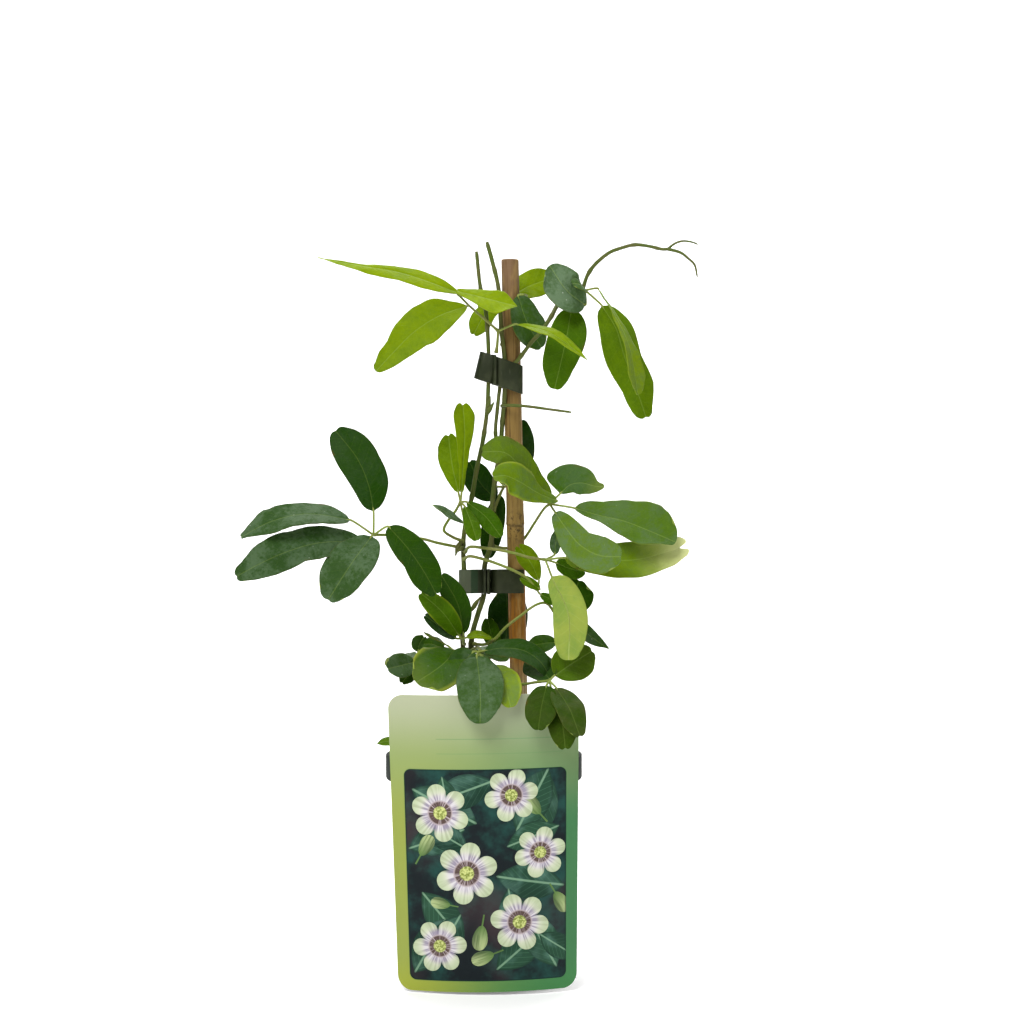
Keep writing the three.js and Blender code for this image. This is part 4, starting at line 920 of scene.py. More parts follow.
FRONDS = {
    "frond_top_left": {
        "slot": "leaf_young",
        "petiole": [(6, -7.5, 300.5), (6.5, -9.5, 304), (7, -11, 310.5)],
        "rachis": [[(7, -11, 310.5), (0, -13, 316.5), (-6.5, -14, 322), (-12.5, -15, 328)]],
        "leaflets": [
            leaflet([(-11, -15.5, 328), (-37.5, -20, 337), (-61, -22, 341), (-78.5, -20, 344.5)], 11.5,
                (-0.05, -0.75, 0.66), 0.9, root=(-12.5, -15, 328), fold=0.15, widest=0.75, fullness=0.9,
                pointed=True, left=(1, 1.08, 1, 0.85, 0.8), right=(1, 1.05, 0.58, 0.33, 0.4)),
            leaflet([(-13.5, -15, 329.5), (-2.5, -18, 326.5), (8, -20, 323.5), (16, -20, 321.5)], 12.5,
                (0, -0.8, 0.6), 0.9, root=(-12.5, -15, 328), widest=1.6, pointed=True, left=(1, 1, 0.9, 1, 1),
                right=(1, 1, 1.1, 1.3, 1)),
            leaflet([(-7.5, -17, 322), (-20, -24, 317), (-32.5, -29, 308.5), (-41.5, -33.5, 299),
                (-50, -36, 289.5)], 19.5, (-0.15, -0.9, 0.35), 0.77, 0.02, root=(-6.5, -14, 322), notch=0,
                widest=1.0, fullness=0.75, left=(1, 1.1, 1.15, 0.9, 1), right=(0.9, 1.25, 1.05, 0.72, 0.9)),
            leaflet([(15.5, -15, 313.5), (31.5, -25, 308.5), (49, -33, 295)], 8, (0.25, -0.6, 0.75), 0.86,
                fold=0.3, fullness=0.9, pointed=True),
        ],
    },
    "frond_top_back": {
        "slot": "leaf_green",
        "petiole": [(8.8, -4, 304.5), (9.5, 3, 312), (9.5, 8, 318), (11, 11, 326)],
        "rachis": [[(11, 11, 326), (16.5, 9, 328), (20.5, 3, 329), (19, -5.5, 328.5)]],
        "leaflets": [
            leaflet([(6.5, 11.5, 325), (-0.5, 14, 319.5), (-5.5, 14, 310.5)], 11.5, (-0.1, -0.95, 0.3), 0.74),
            leaflet([(13.5, 13, 330), (23.5, 19, 336), (36, 22, 340)], 16, (0, -0.9, 0.4), 0.78),
            leaflet([(16.5, -7, 328), (20.5, -4.5, 316), (28, 0, 303)], 18, (0.45, -0.88, 0.15), 0.35, 0.5,
                root=(19, -5.5, 328.5), notch=0.3),
            leaflet([(10, 15, 327.5), (6, 32, 331), (2, 50, 322)], 17, (-0.2, 0.25, 0.95), 0.6, 0.1),
        ],
    },
    "frond_top_right": {
        "slot": "leaf_green",
        "petiole": [(46.5, 0.5, 331.3), (49, -2.5, 331)],
        "leaflets": [
            leaflet([(49, -5, 323.5), (39.5, -13, 330), (31.5, -15, 341.5)], 19.5, (0.1, -0.95, 0.3), 0.3, 1,
                notch=0, left=(1, 1, 1, 1.02, 1)),
            leaflet([(48.5, -7, 331), (46, -15, 332.5), (42, -19, 332.5)], 8, (0.2, -0.8, 0.5), 0.4, 0.6),
            leaflet([(42.5, -3, 322), (39, -9, 304), (34, -9, 282.5)], 19, (0.12, -0.98, 0.1), 0.55, 0.02,
                notch=0.2, left=(1.3, 1.15, 0.95, 0.75, 0.8), right=(1.1, 1, 0.98, 1, 1)),
            leaflet([(55, -6, 331.5), (61.5, -18, 319.5), (69, -26, 302), (73, -27, 279)], 10.5,
                (0.75, -0.6, 0.25), 0.78, 0.3, fold=0.25, widest=2.6, fullness=0.6, notch=0,
                left=(1, 1, 1, 1.1, 1.6), right=(1, 1, 1, 1.1, 1.6)),
            leaflet([(57, -3.5, 323.5), (64, -6, 311.5), (67, -8, 300.5), (72.5, -10.5, 285), (78, -12, 268.5)],
                19.5, (0.1, -0.98, 0.12), 0.64, 0.02, notch=0.5, left=(1, 0.98, 0.8, 1, 0.8),
                right=(1.1, 1.1, 1.02, 0.8, 1)),
        ],
    },
    "frond_left": {
        "slot": "leaf_dark",
        "petiole": [(-11, -5, 206.5), (-22, -16, 209), (-29, -24, 211), (-46, -36, 213), (-51, -38, 213)],
        "leaflets": [
            leaflet([(-51, -38, 224), (-53, -37.5, 235), (-58.5, -34, 248), (-70, -26, 262.5)], 19.5,
                (0.2, -0.97, -0.1), 0.1, 0.1, notch=0.4, left=(1, 0.9, 0.95, 1, 1.1),
                right=(1, 1.15, 1, 1.05, 1)),
            leaflet([(-61.5, -42, 220), (-75, -47, 222.5), (-85, -49.5, 222.5), (-98, -50.5, 219),
                (-111.5, -50, 212)], 18, (-0.05, -0.62, 0.78), 0.15, 0.55, notch=0.3,
                left=(1, 0.95, 1, 1.1, 0.5), right=(1, 1.05, 0.85, 1.2, 0.6)),
            leaflet([(-56, -42, 210), (-75, -50, 209.5), (-88, -55.5, 206), (-100.5, -59.5, 200.5),
                (-112.5, -60, 194)], 20.5, (-0.1, -0.85, 0.5), 0.12, 0.55, notch=0.5,
                left=(1, 1, 0.85, 1.05, 0.9), right=(1, 0.95, 1, 1.05, 0.8)),
            leaflet([(-51.5, -44, 212.5), (-60, -56, 200), (-70.5, -60, 183)], 22.5, (-0.15, -0.9, 0.4), 0.15,
                0.6, left=(1, 1, 0.95, 0.9, 1), right=(1, 1.05, 1, 1.1, 1.1)),
            leaflet([(-44, -40, 217), (-34.5, -43.5, 206.5), (-27, -43, 195.5), (-21.5, -40, 185)], 17,
                (0.25, -0.93, 0.25), 0.2, 0.06, left=(1, 1, 1, 1.05, 1), right=(1, 0.95, 0.8, 1, 1)),
        ],
    },
    "frond_mid_left": {
        "slot": "leaf_young",
        "petiole": [(-10, -5.5, 209.5), (-15.5, -9.5, 212), (-19, -13, 215), (-17, -14, 219.5),
            (-13.5, -15, 224), (-11, -15.5, 228.5)],
        "leaflets": [
            leaflet([(-10.5, -16, 232.5), (-9.5, -20, 248.5), (-9, -19, 262.5), (-10, -17, 276)], 11,
                (0.5, -0.85, 0), 0.75, widest=1.7, notch=0.9, left=(1, 0.55, 0.68, 0.95, 1.5),
                right=(1, 0.55, 0.66, 0.95, 1.5)),
            leaflet([(-12, -14, 233), (-15, -12, 246), (-17, -8, 261.5)], 13, (-0.45, -0.88, 0.1), 0.69,
                widest=1.4, notch=0.8, left=(1, 1, 1, 1.05, 1.3)),
            leaflet([(-8, -17, 228.5), (1, -20, 221.5), (8.5, -22, 211.8)], 9, (-0.2, -0.85, 0.45), 0.43,
                widest=1.3, notch=0.2),
            leaflet([(-9, -18, 226.5), (-5.5, -25, 218), (-3, -28, 210)], 7.5, (0.2, -0.95, 0.2), 0.56,
                widest=1.4, notch=0.2, right=(1, 1, 1, 1.1, 1.3)),
            leaflet([(-9.5, -16, 218.5), (-16.5, -22, 223), (-24, -26, 227)], 7.5, (0, -0.6, 0.8), 0.25, 0.9,
                pointed=True),
        ],
    },
    "frond_mid_back": {
        "slot": "leaf_dark",
        "petiole": [(4.5, 3.5, 224), (7.5, 8, 231.5), (9.5, 11, 236)],
        "leaflets": [
            leaflet([(5.5, 10.5, 230), (-2, 13, 238), (-7.5, 13, 249)], 14, (-0.2, -0.95, 0.2), 0.05, 0.08),
            leaflet([(14, 13, 238), (17.5, 17, 252.5), (18, 16, 269.5)], 14, (0.1, -0.98, 0.1), 0.05, 0.15),
            leaflet([(8, 9, 232), (4.5, 8.5, 218), (1.5, 8, 201)], 11, (0.1, -0.98, 0.1), 0.12, 0.05),
            leaflet([(11, 15, 237), (14, 34, 241), (13, 55, 235)], 18, (0.15, 0.2, 0.97), 0.3, 0.2),
            leaflet([(6, 14, 236), (1, 26, 236.5), (-4, 37, 233)], 15, (-0.2, 0.5, 0.85), 0.3, 0.2),
        ],
    },
    "frond_right": {
        "slot": "leaf_green",
        "petiole": [(4.4, 4, 207), (10, 9.8, 206), (15.5, 9.5, 206.5), (19.6, 3, 210.8), (24.4, -10, 218.4),
            (29.3, -19, 225.8), (31.5, -21, 227.5)],
        "leaflets": [
            leaflet([(32, -22, 229), (20, -26, 242), (10.5, -28, 251.5), (-1, -27, 252)], 17, (0.2, -0.8, 0.55),
                0.64, 0.15, left=(1, 1, 1, 1.05, 1.3), right=(1, 0.9, 1, 1.15, 1.5), dry=0.22),
            leaflet([(35, -26, 229), (26, -32, 232.5), (17.5, -38, 237.5), (10.5, -41, 240.5), (4.5, -43, 240)],
                17, (-0.15, -0.85, 0.5), 0.68, 0.32, widest=1.4, notch=0.4, left=(1, 0.8, 1, 1, 0.9),
                right=(1, 0.65, 1, 1, 1), pale_rim=0.4),
            leaflet([(36.5, -23, 232.5), (41, -20, 236.5), (46.5, -20, 237.5), (54, -20, 235.8),
                (57.5, -20, 236)], 15, (0, -0.85, 0.5), 0.42, 0.3, notch=0, left=(2.7, 1.75, 1.3, 0.9, 0.35),
                right=(0.6, 0.8, 0.9, 0.75, 0.35), pale_tip=0.15),
            leaflet([(43, -23, 225.6), (54, -26, 222.3), (66, -30, 219.5), (77.5, -34, 215), (90, -37, 209.5)],
                23, (-0.1, -0.78, 0.6), 0.58, 0.4, fold=0.3, widest=1.25, notch=0, left=(1, 0.95, 1, 1.25, 1.4),
                right=(0.5, 0.45, 0.8, 0.9, 0.5)),
            leaflet([(33.9, -25, 223.7), (38.9, -33, 216.2), (45.2, -41, 208.4), (54, -47, 203.6),
                (64.5, -50, 203)], 19.5, (-0.35, -0.8, 0.45), 0.64, 0.6, widest=1.25, notch=0.5,
                left=(1, 0.83, 0.75, 1, 1.4), right=(1, 0.8, 0.85, 1, 1.4)),
        ],
    },
    "frond_right_low": {
        "slot": "leaf_young",
        "petiole": [(-9, -5.5, 204.5), (-6.5, -13, 207), (0.5, -17, 206.5), (8, -18.5, 205.5), (15, -18.5, 204),
            (22, -18.5, 202), (29.5, -18, 201)],
        "leaflets": [
            leaflet([(38.5, -22, 202), (55, -26, 201), (74, -28, 201.5), (97, -28, 208)], 18.5,
                (0, -0.88, 0.45), 0.7, 0.15, notch=3, left=(1, 1, 1, 1, 1.2), right=(1, 1, 1.05, 1, 1.2),
                pale_tip=1),
            leaflet([(34.5, -16, 199.5), (41.5, -12, 196.5), (49, -8, 195)], 10, (0.3, -0.9, 0.3), 0.5, 0),
            leaflet([(34, -15, 203.5), (34.5, -12, 209), (35.5, -10, 215)], 6, (0.4, -0.9, 0.1), 0.3, 0.8),
            leaflet([(32.5, -22, 193), (40, -36, 175.5), (40, -40, 154.5)], 18, (0.05, 0.97, 0.2), 0.8, 0.25,
                fullness=0.42, left=(0.8, 0.68, 0.83, 0.9, 1), right=(1.2, 1.1, 1, 0.95, 1), notch=0.15),
        ],
    },
    "frond_clip_front": {
        "slot": "leaf_young",
        "petiole": [(-9.6, -5.5, 201), (-6.5, -12.5, 202.5), (0.5, -15.5, 201), (8, -17, 198.5),
            (15, -18, 195.5), (21, -17.5, 192), (25.5, -16, 186.5)],
        "leaflets": [
            leaflet([(26.5, -13.5, 191), (22.5, -12, 199.5), (16.3, -10, 207.8)], 9.5, (-0.1, -0.95, 0.3), 0.7,
                widest=1.3, notch=1.2),
            leaflet([(27, -15, 184.5), (32, -16, 182), (36, -15, 180)], 5, (0, -0.9, 0.4), 0.4),
            leaflet([(27, -16.5, 187), (22.2, -17.5, 190), (17.4, -17.5, 192.7)], 5, (0, -0.9, 0.4), 0.6),
        ],
    },
    "frond_low_right": {
        "slot": "leaf_green",
        "petiole": [(-5, -4, 160), (0.5, -8, 160), (5.5, -12, 163), (10.5, -15, 168.5), (17.5, -15, 174),
            (25.5, -14, 179.5), (30, -12, 180), (34, -10, 175.5)],
        "leaflets": [
            leaflet([(36.5, -10, 178), (43, -12, 184.5), (46, -10, 191.5)], 20, (0.15, -0.95, 0.2), 0.25, 0),
            leaflet([(38, -9, 172.5), (46, -9, 168), (54, -8, 162), (60.3, -8, 158)], 8, (0.2, -0.9, 0.3), 0.3,
                0.4, widest=0.8, fullness=0.8, pointed=True),
            leaflet([(35, -6, 161), (27.5, -4, 160), (21, -2, 158.5)], 9, (0.1, -0.95, 0.3), 0.3, 0.2),
        ],
    },
    "frond_centre": {
        "slot": "leaf_blue_green",
        "petiole": [(-5.5, -3.5, 157), (-3, -12, 159), (-1.5, -22, 158), (-2.5, -28, 157.5)],
        "leaflets": [
            leaflet([(-3, -32, 156), (-1, -53, 142), (-1, -60, 127)], 22, (0, -0.9, 0.45), 0.25, 0.62,
                fullness=0.45, notch=0.2),
            leaflet([(0.5, -31, 158.5), (9, -35, 160), (19, -37, 159), (27, -36, 153.5), (31, -34, 147)], 13,
                (0.1, -0.7, 0.7), 0.15, 0.22, notch=0.3),
            leaflet([(-0.5, -24, 156), (5, -17, 154.5), (11.5, -10, 154.5)], 10, (0, -0.6, 0.8), 0.3, 0.3),
            leaflet([(4.2, -33, 151.5), (10, -47, 144.7), (13, -55, 134)], 15, (0.1, -0.85, 0.5), 0.82, 0.4,
                notch=0.2, pale_rim=0.6),
            leaflet([(-4.5, -29, 158), (-8.5, -31, 153.5), (-12, -33, 146.5)], 15, (0, -0.9, 0.4), 0.2, 0.4),
        ],
    },
    "frond_low_left": {
        "slot": "leaf_green",
        "petiole": [(-9.5, -5.5, 160), (-9.5, -12, 161), (-10, -18, 163.5)],
        "leaflets": [
            leaflet([(-9.5, -19, 165.5), (-12, -26, 180), (-20, -28, 194.5)], 12.5, (0.35, -0.93, 0.1), 0.2,
                0.05),
            leaflet([(-11.5, -21, 165), (-19, -31, 176.5), (-29.5, -34, 186)], 11, (-0.3, -0.9, 0.3), 0.55,
                pale_rim=0.35),
            leaflet([(-13, -18, 163.5), (-20, -23, 169), (-28, -25, 175)], 6.5, (0.1, -0.9, 0.3), 0.1, 0.5),
            leaflet([(-8, -20, 164), (-2.5, -19, 165.5), (4, -14, 163.5)], 7, (0, -0.5, 0.85), 0.75),
        ],
    },
    "frond_left_front": {
        "slot": "leaf_green",
        "petiole": [(-9.6, -6, 155.5), (-11.5, -14, 157), (-14, -24, 158)],
        "leaflets": [
            leaflet([(-13, -25, 158), (-20, -36, 151.5), (-31, -44, 144.5)], 25, (-0.2, -0.95, 0.25), 0.44,
                0.25, left=(1, 0.9, 0.95, 1, 1.1), right=(1, 1, 1, 1, 1), notch=0.2, pale_rim=0.7,
                pale_tip=0.1),
            leaflet([(-17, -23, 160.5), (-22, -28, 164), (-28, -31, 167.5)], 4, (0, -0.4, 0.9), 0.4, 0.1,
                dry=0.8),
            leaflet([(-19, -18, 158.5), (-24.5, -15, 160.5), (-29, -12, 160.5)], 8.5, (0, -0.9, 0.4), 0.4, 0.2),
        ],
    },
    "frond_far_left": {
        "slot": "leaf_dark",
        "petiole": [(-10.5, -3.5, 150), (-18.5, -6, 152), (-28, -8, 154.5), (-31.5, -10, 155)],
        "leaflets": [
            leaflet([(-33, -13, 152), (-39.5, -22, 150.8), (-45.3, -29, 149.8)], 12.5, (-0.15, -0.96, 0.15),
                0.38, 0.6),
            leaflet([(-33.3, -11.6, 151.4), (-35.7, -15.8, 146.6), (-39, -19, 142)], 8, (0, -0.95, 0.3), 0.3,
                0.2),
            leaflet([(-31.5, -9, 156.5), (-31, -8, 160), (-28.5, -6, 164)], 8, (0, -0.95, 0.1), 0.3, 0.2),
            leaflet([(-34, -6, 153), (-41, 8, 153.5), (-46, 23, 147)], 13, (-0.3, 0.2, 0.93), 0.35, 0.2),
        ],
    },
    "frond_low_front": {
        "slot": "leaf_dark",
        "petiole": [(-5.5, -3, 149), (5.5, -16, 146), (12.5, -27, 143.5), (18, -34, 143), (24.5, -41, 144.5),
            (31, -45, 145.5)],
        "leaflets": [
            leaflet([(29.5, -47, 143.5), (27, -56, 134), (25.5, -61, 124)], 15, (-0.15, -0.95, 0.3), 0.22,
                notch=0.4, dry=0.2),
            leaflet([(34, -47, 142.5), (40, -60, 133.5), (44.5, -65, 121.5)], 13.5, (0.3, -0.9, 0.3), 0.22,
                0.15, notch=0.5, left=(1, 1.1, 1.1, 1, 1), dry=0.4),
            leaflet([(32.5, -47, 138), (36.5, -55, 127), (38, -58, 115)], 13.5, (0, -0.97, 0.25), 0.28,
                notch=0.6, dry=0.3),
            leaflet([(31.5, -40, 145.5), (26.8, -30, 150.3), (20.7, -20, 153.4)], 15, (0, -0.9, 0.4), 0.2, 0.1),
            leaflet([(33.5, -38, 147.5), (43, -28, 153), (52, -22, 158)], 19, (0.1, -0.93, 0.35), 0.56,
                dry=0.25),
        ],
    },
    "frond_low_back": {
        "slot": "leaf_dark",
        "petiole": [(-5.5, -1, 153), (1, 7, 152), (8, 12, 154)],
        "leaflets": [
            leaflet([(10, 13, 157), (11.5, 16, 172), (10.5, 16, 186)], 20, (0, -0.98, 0.1), 0.02, 0.15),
            leaflet([(6.5, 11, 156.5), (3.5, 11, 163.5), (1.5, 12, 172)], 9, (-0.1, -0.97, 0.2), 0.35, 0),
            leaflet([(11.5, 15, 154), (18, 34, 155), (20, 54, 147)], 18, (0.2, 0.25, 0.95), 0.3, 0.2),
            leaflet([(5, 15, 154), (-3, 30, 156), (-12, 46, 150)], 17, (-0.2, 0.25, 0.95), 0.3, 0.2),
            leaflet([(3, 12, 153), (-12, 19, 153), (-26, 26, 146)], 16, (-0.3, 0.25, 0.9), 0.3, 0.2),
        ],
    },
    "sprout_small": {
        "slot": "leaf_green",
        "petiole": [(-27, -22, 92), (-28.5, -25, 101), (-33, -30, 110), (-38, -33.5, 114.5)],
        "radius": 0.55,
        "leaflets": [
            leaflet([(-39.5, -34, 115.5), (-44, -35, 116.5), (-49.5, -35, 115.5)], 5, (0, -0.75, 0.65), 0.6,
                pointed=True),
            leaflet([(-36, -31, 115), (-33, -27, 119), (-29, -23, 121)], 5, (0.3, -0.3, 0.9), 0.5),
        ],
    },
}
LEAF_BASE = 0.015
POINTED_END = 0.97
NOTCHED_END = 0.93
PETIOLE_RADIUS = 0.65
STALK_RADIUS = 0.55
BLADE = {"Rows": 49, "Columns": 25, "Vein spacing": 5.2 * MM, "Edge wave": 24 * MM}
BLADE_THICKNESS = 0.34 * MM
VEIN_SLANT = 0.8
VEIN_STAGGER = 0.25
RIB_WIDTH = 0.24 * MM
GROOVE_WIDTH = 0.55 * MM
GROOVE_DEPTH = 0.22 * MM
PILLOW_HEIGHT = 0.09 * MM
PUFF_SIZE = 9 * MM
PUFF_HEIGHT = 2.4 * MM
EDGE_WANDER = 0.08
EDGE_RIPPLE = 0.34
SIDE_STATIONS = (0, 0.25, 0.5, 0.75, 1)


def stored(tree, shape, name, value, kind="FLOAT_VECTOR", domain="POINT"):
    inputs = {"Geometry": shape, "Name": name, "Value": value}
    settings = {"data_type": kind, "domain": domain}
    return out(add_node(tree, "GeometryNodeStoreNamedAttribute", inputs, **settings), "Geometry")


def named(tree, name, kind="FLOAT_VECTOR"):
    inputs = {"Name": name}
    return out(add_node(tree, "GeometryNodeInputNamedAttribute", inputs, data_type=kind), "Attribute")


def blade_tree():
    """One fine blade about each rib line. The ribs' points carry the leaflet's own values."""
    tree, entry = geometry_tree("Leaflet blades", {
        "Rows": "Int", "Columns": "Int", "Vein spacing": "Float", "Edge wave": "Float", "Material": "Material",
    })
    ribs = out(add_node(tree, "GeometryNodeMeshToCurve", {"Mesh": out(entry, "Geometry")}), "Curve")
    size = add_node(tree, "GeometryNodeAttributeDomainSize", {"Geometry": ribs}, component="CURVE")
    spots = add_node(tree, "GeometryNodePoints", {"Count": out(size, "Spline Count")})
    patch = add_node(tree, "GeometryNodeMeshGrid", {
        "Size X": 2.0, "Size Y": 1.0, "Vertices X": out(entry, "Columns"), "Vertices Y": out(entry, "Rows"),
    })
    copies = out(add_node(tree, "GeometryNodeInstanceOnPoints", {
        "Points": out(spots, "Points"), "Instance": out(patch, "Mesh"),
    }), "Instances")
    number = out(add_node(tree, "GeometryNodeInputIndex"), "Index")
    copies = stored(tree, copies, "leaflet", number, "INT", "INSTANCE")
    flat = out(add_node(tree, "GeometryNodeRealizeInstances", {"Geometry": copies}), "Geometry")
    flat = stored(tree, flat, "grid", out(add_node(tree, "GeometryNodeInputPosition"), "Position"))
    own_rib = named(tree, "leaflet", "INT")
    a, grid_y, _ = split(tree, named(tree, "grid"))
    t = 1.0 - (0.5 - grid_y).math("MAXIMUM", 0.0) ** 1.5

    def along_rib(name):
        return add_node(tree, "GeometryNodeSampleCurve", {
            "Curves": ribs, "Value": named(tree, name), "Factor": t, "Curve Index": own_rib,
        }, mode="FACTOR", data_type="FLOAT_VECTOR", use_all_curves=False)

    def carried(name):
        return out(along_rib(name), "Value")

    half_width, fold, curl = split(tree, carried("shape"))
    notch, end, widest = split(tree, carried("tip"))
    fullness, length, seed = split(tree, carried("form"))
    centre_node = along_rib("faces")
    centre, tangent, up = (out(centre_node, name) for name in ("Position", "Tangent", "Value"))
    side = vector_math(tree, "NORMALIZE", vector_math(tree, "CROSS_PRODUCT", tangent, up))
    normal = vector_math(tree, "NORMALIZE", vector_math(tree, "CROSS_PRODUCT", side, tangent))
    reach = abs(a)
    soft_reach = (a * a + 0.02).math("SQRT") - 0.14

    # Outline
    stage = mix(tree, t ** widest, LEAF_BASE, end, "FLOAT")
    rounding = (1.0 - (1.0 - t) ** 40.0).math("MAXIMUM", 0.0).math("SQRT")
    notched = end.math("LESS_THAN", 0.95)
    taper = ((1.0 - t ** 16.0).math("MAXIMUM", 0.0) ** 0.7).math("MAXIMUM", notched)
    wander = grain(tree, bundle(tree, t * 3.0, a.math("SIGN"), seed), 1.0, 2) - 0.5
    left, right, dry = split(tree, carried("edges"))
    own_side = mix(tree, a.math("GREATER_THAN", 0.0), left, right, "FLOAT")
    half = half_width * (stage * math.pi).math("SINE") ** fullness * rounding * taper
    half = half * (1.0 + wander * EDGE_WANDER) * own_side
    cap = 1.0 - (1.0 - reach * reach * 0.98).math("SQRT")
    dip = bell(reach / 0.26)
    forward = t ** 8.0 * (notch * dip * -1.5 - half * cap * 0.8)

    # Relief: fold and curl, the groove over the rib, pillows between the side veins, a waved edge
    across = half * a
    along = t * length
    bend = fold * half * soft_reach - curl * reach * reach * (t * math.pi).math("SINE")
    groove = bell(across / GROOVE_WIDTH) * -GROOVE_DEPTH * (1.0 - t * 0.7)
    slant = (along - abs(across) * VEIN_SLANT) / out(entry, "Vein spacing") + a.math("SIGN") * VEIN_STAGGER
    pillow = (slant * (2 * math.pi)).math("COSINE") * -PILLOW_HEIGHT * (reach * math.pi).math("SINE")
    waving = bundle(tree, along / out(entry, "Edge wave") * 2.2, a.math("SIGN") * 3.0, seed)
    ripple = grain(tree, waving, 1.0, 1) - 0.5
    wave = ripple * (half_width * EDGE_RIPPLE) * reach * reach * rise(t, 0.0, 0.2)
    puff = grain(tree, bundle(tree, along / PUFF_SIZE, across / PUFF_SIZE, seed), 1.0, 1) - 0.5
    lift = bend + groove + pillow + wave + puff * soft_reach * rise(t, 0.0, 0.15) * PUFF_HEIGHT
    spot = centre
    for way, far in ((side, across), (normal, lift), (tangent, forward)):
        spot = vector_math(tree, "ADD", spot, vector_math(tree, "SCALE", way, scale=far))

    # The leaf's own coordinates, for its colour: metres along, metres across, and 0 to 1 at the edge
    shape = stored(tree, flat, "tone", carried("look"))
    shape = stored(tree, shape, "fade", vector_math(tree, "SCALE", carried("pale"), scale=t))
    edge = reach.math("MAXIMUM", rise(t, 0.93, 1.02))
    shape = stored(tree, shape, "blade", bundle(tree, along, across, edge))
    shape = stored(tree, shape, "dry", dry, "FLOAT")
    shape = stored(tree, shape, "spot", spot)
    placed = add_node(tree, "GeometryNodeSetPosition", {"Geometry": shape, "Position": named(tree, "spot")})
    finish_tree(tree, entry, out(placed, "Geometry"))
    return tree


def leaf_coat(name, back):
    """A waxy leaf skin, from old dark green to young yellow-green, under a blue-grey bloom. The yellow-green is
    partly painted backlight, and the bloom carries a painted sheen.
    """
    material, tree, shader = new_material(name)
    along, across, reach = split(tree, own_value(tree, "blade"))
    youth_and_backlight, bloom_and_sheen, seed = split(tree, own_value(tree, "tone"))
    pale_tip, pale_rim, far = split(tree, own_value(tree, "fade"))
    place = bundle(tree, along, across, seed)
    cloud = grain(tree, place, 85, 4, 0.6)
    fine = grain(tree, place, 620, 3, 0.6)

    # Veins: the rib, the side veins that slant forward from it, and the fine net between them
    rib = bell(across / RIB_WIDTH)
    slant = (along - abs(across) * VEIN_SLANT) / BLADE["Vein spacing"] + across.math("SIGN") * VEIN_STAGGER
    slant = slant + (cloud - 0.5) * 0.35
    off_vein = abs(slant.math("FRACT") - 0.5)
    side_vein = rise(off_vein, 0.07, 0.0) * rise(reach, 1.0, 0.6)
    cells = {"Vector": place, "Scale": 900.0}
    net = out(add_node(tree, "ShaderNodeTexVoronoi", cells, feature="DISTANCE_TO_EDGE"), "Distance")
    net = rise(net, 0.12, 0.0)

    dry = own_value(tree, "dry", "Fac")
    # Old dark green to young yellow-green. The yellow-green is partly painted light: the glow of leaves lit
    # from behind.
    tone = mix(tree, rise(youth_and_backlight, 0.0, 0.6), (0.006, 0.032, 0.0006), (0.038, 0.098, 0.001))
    tone = mix(tree, rise(youth_and_backlight, 0.48, 0.95), tone, (0.20, 0.28, 0.001))
    tone = mix(tree, rise(cloud, 0.38, 0.7) * 0.55, tone, (0.62, 0.72, 0.5), blend_type="MULTIPLY")
    tone = mix(tree, rise(fine, 0.4, 0.65) * 0.4, tone, (0.66, 0.74, 0.5), blend_type="MULTIPLY")
    # Painted sheen: blue-grey patches over the bloom that stand in for soft reflections of the lamps.
    painted_sheen_and_bloom = bloom_and_sheen * (bloom_and_sheen * 0.35 + rise(cloud * 0.65 + fine * 0.35, 0.4, 0.6) * 0.65)
    tone = mix(tree, painted_sheen_and_bloom.math("MINIMUM", 1.0), tone, (0.115, 0.178, 0.098))
    tone = mix(tree, dry * (0.35 + rise(cloud, 0.35, 0.65) * 0.5), tone, (0.085, 0.075, 0.018))
    veined = 0.25 + youth_and_backlight * 0.75
    tone = mix(tree, side_vein * veined * 0.1 + net * veined * 0.07, tone, (0.20, 0.32, 0.04))
    tone = mix(tree, rib * (0.07 + youth_and_backlight * 0.22 + bloom_and_sheen * 0.12), tone, (0.30, 0.42, 0.09))
    tip = pale_tip * rise(far + (cloud - 0.5) * 0.3, 0.5, 0.94)
    edge = rise(reach + (cloud - 0.5) * 0.25, 0.78, 1.0) * pale_rim
    pale = mix(tree, pale_tip, (0.42, 0.46, 0.03), (0.55, 0.58, 0.26))
    tone = mix(tree, tip.math("MAXIMUM", edge), tone, pale)
    rim = rise(reach, 0.955, 0.99)
    tone = mix(tree, rim * 0.4, tone, mix(tree, youth_and_backlight, (0.045, 0.05, 0.02), (0.28, 0.34, 0.02)))
    scorch = rise(reach, 0.8, 1.0) * rise(cloud + fine * 0.3, 0.76, 0.86)
    tone = mix(tree, scorch * 0.6, tone, (0.10, 0.05, 0.012))
    specks = add_node(tree, "ShaderNodeTexVoronoi", {"Vector": place, "Scale": 300.0, "Randomness": 1.0})
    fleck = rise(out(specks, "Distance"), 0.13, 0.04) * rise(cloud, 0.52, 0.6) * bloom_and_sheen
    tone = mix(tree, fleck * 0.6, tone, (0.5, 0.55, 0.45))
    if back:
        pale_side = mix(tree, rise(cloud, 0.35, 0.65), (0.29, 0.34, 0.075), (0.20, 0.29, 0.06))
        tone = mix(tree, 0.68, tone, pale_side)
        tone = mix(tree, rib * 0.5 + side_vein * 0.12, tone, (0.42, 0.48, 0.16))
    base, specular, raised = (0.58, 0.03, 1.0) if back else (0.32, 0.045, -1.0)
    coat(shader, tone, fine * 0.15 + bloom_and_sheen * 0.06 + base, specular, (0.9, 1, 0.6))
    veins = (rib * 0.7 + side_vein * 0.35 + net * 0.25) * raised
    relief(tree, shader, veins + fine * 0.4 + cloud * 0.8, 0.16 * MM)
    return material


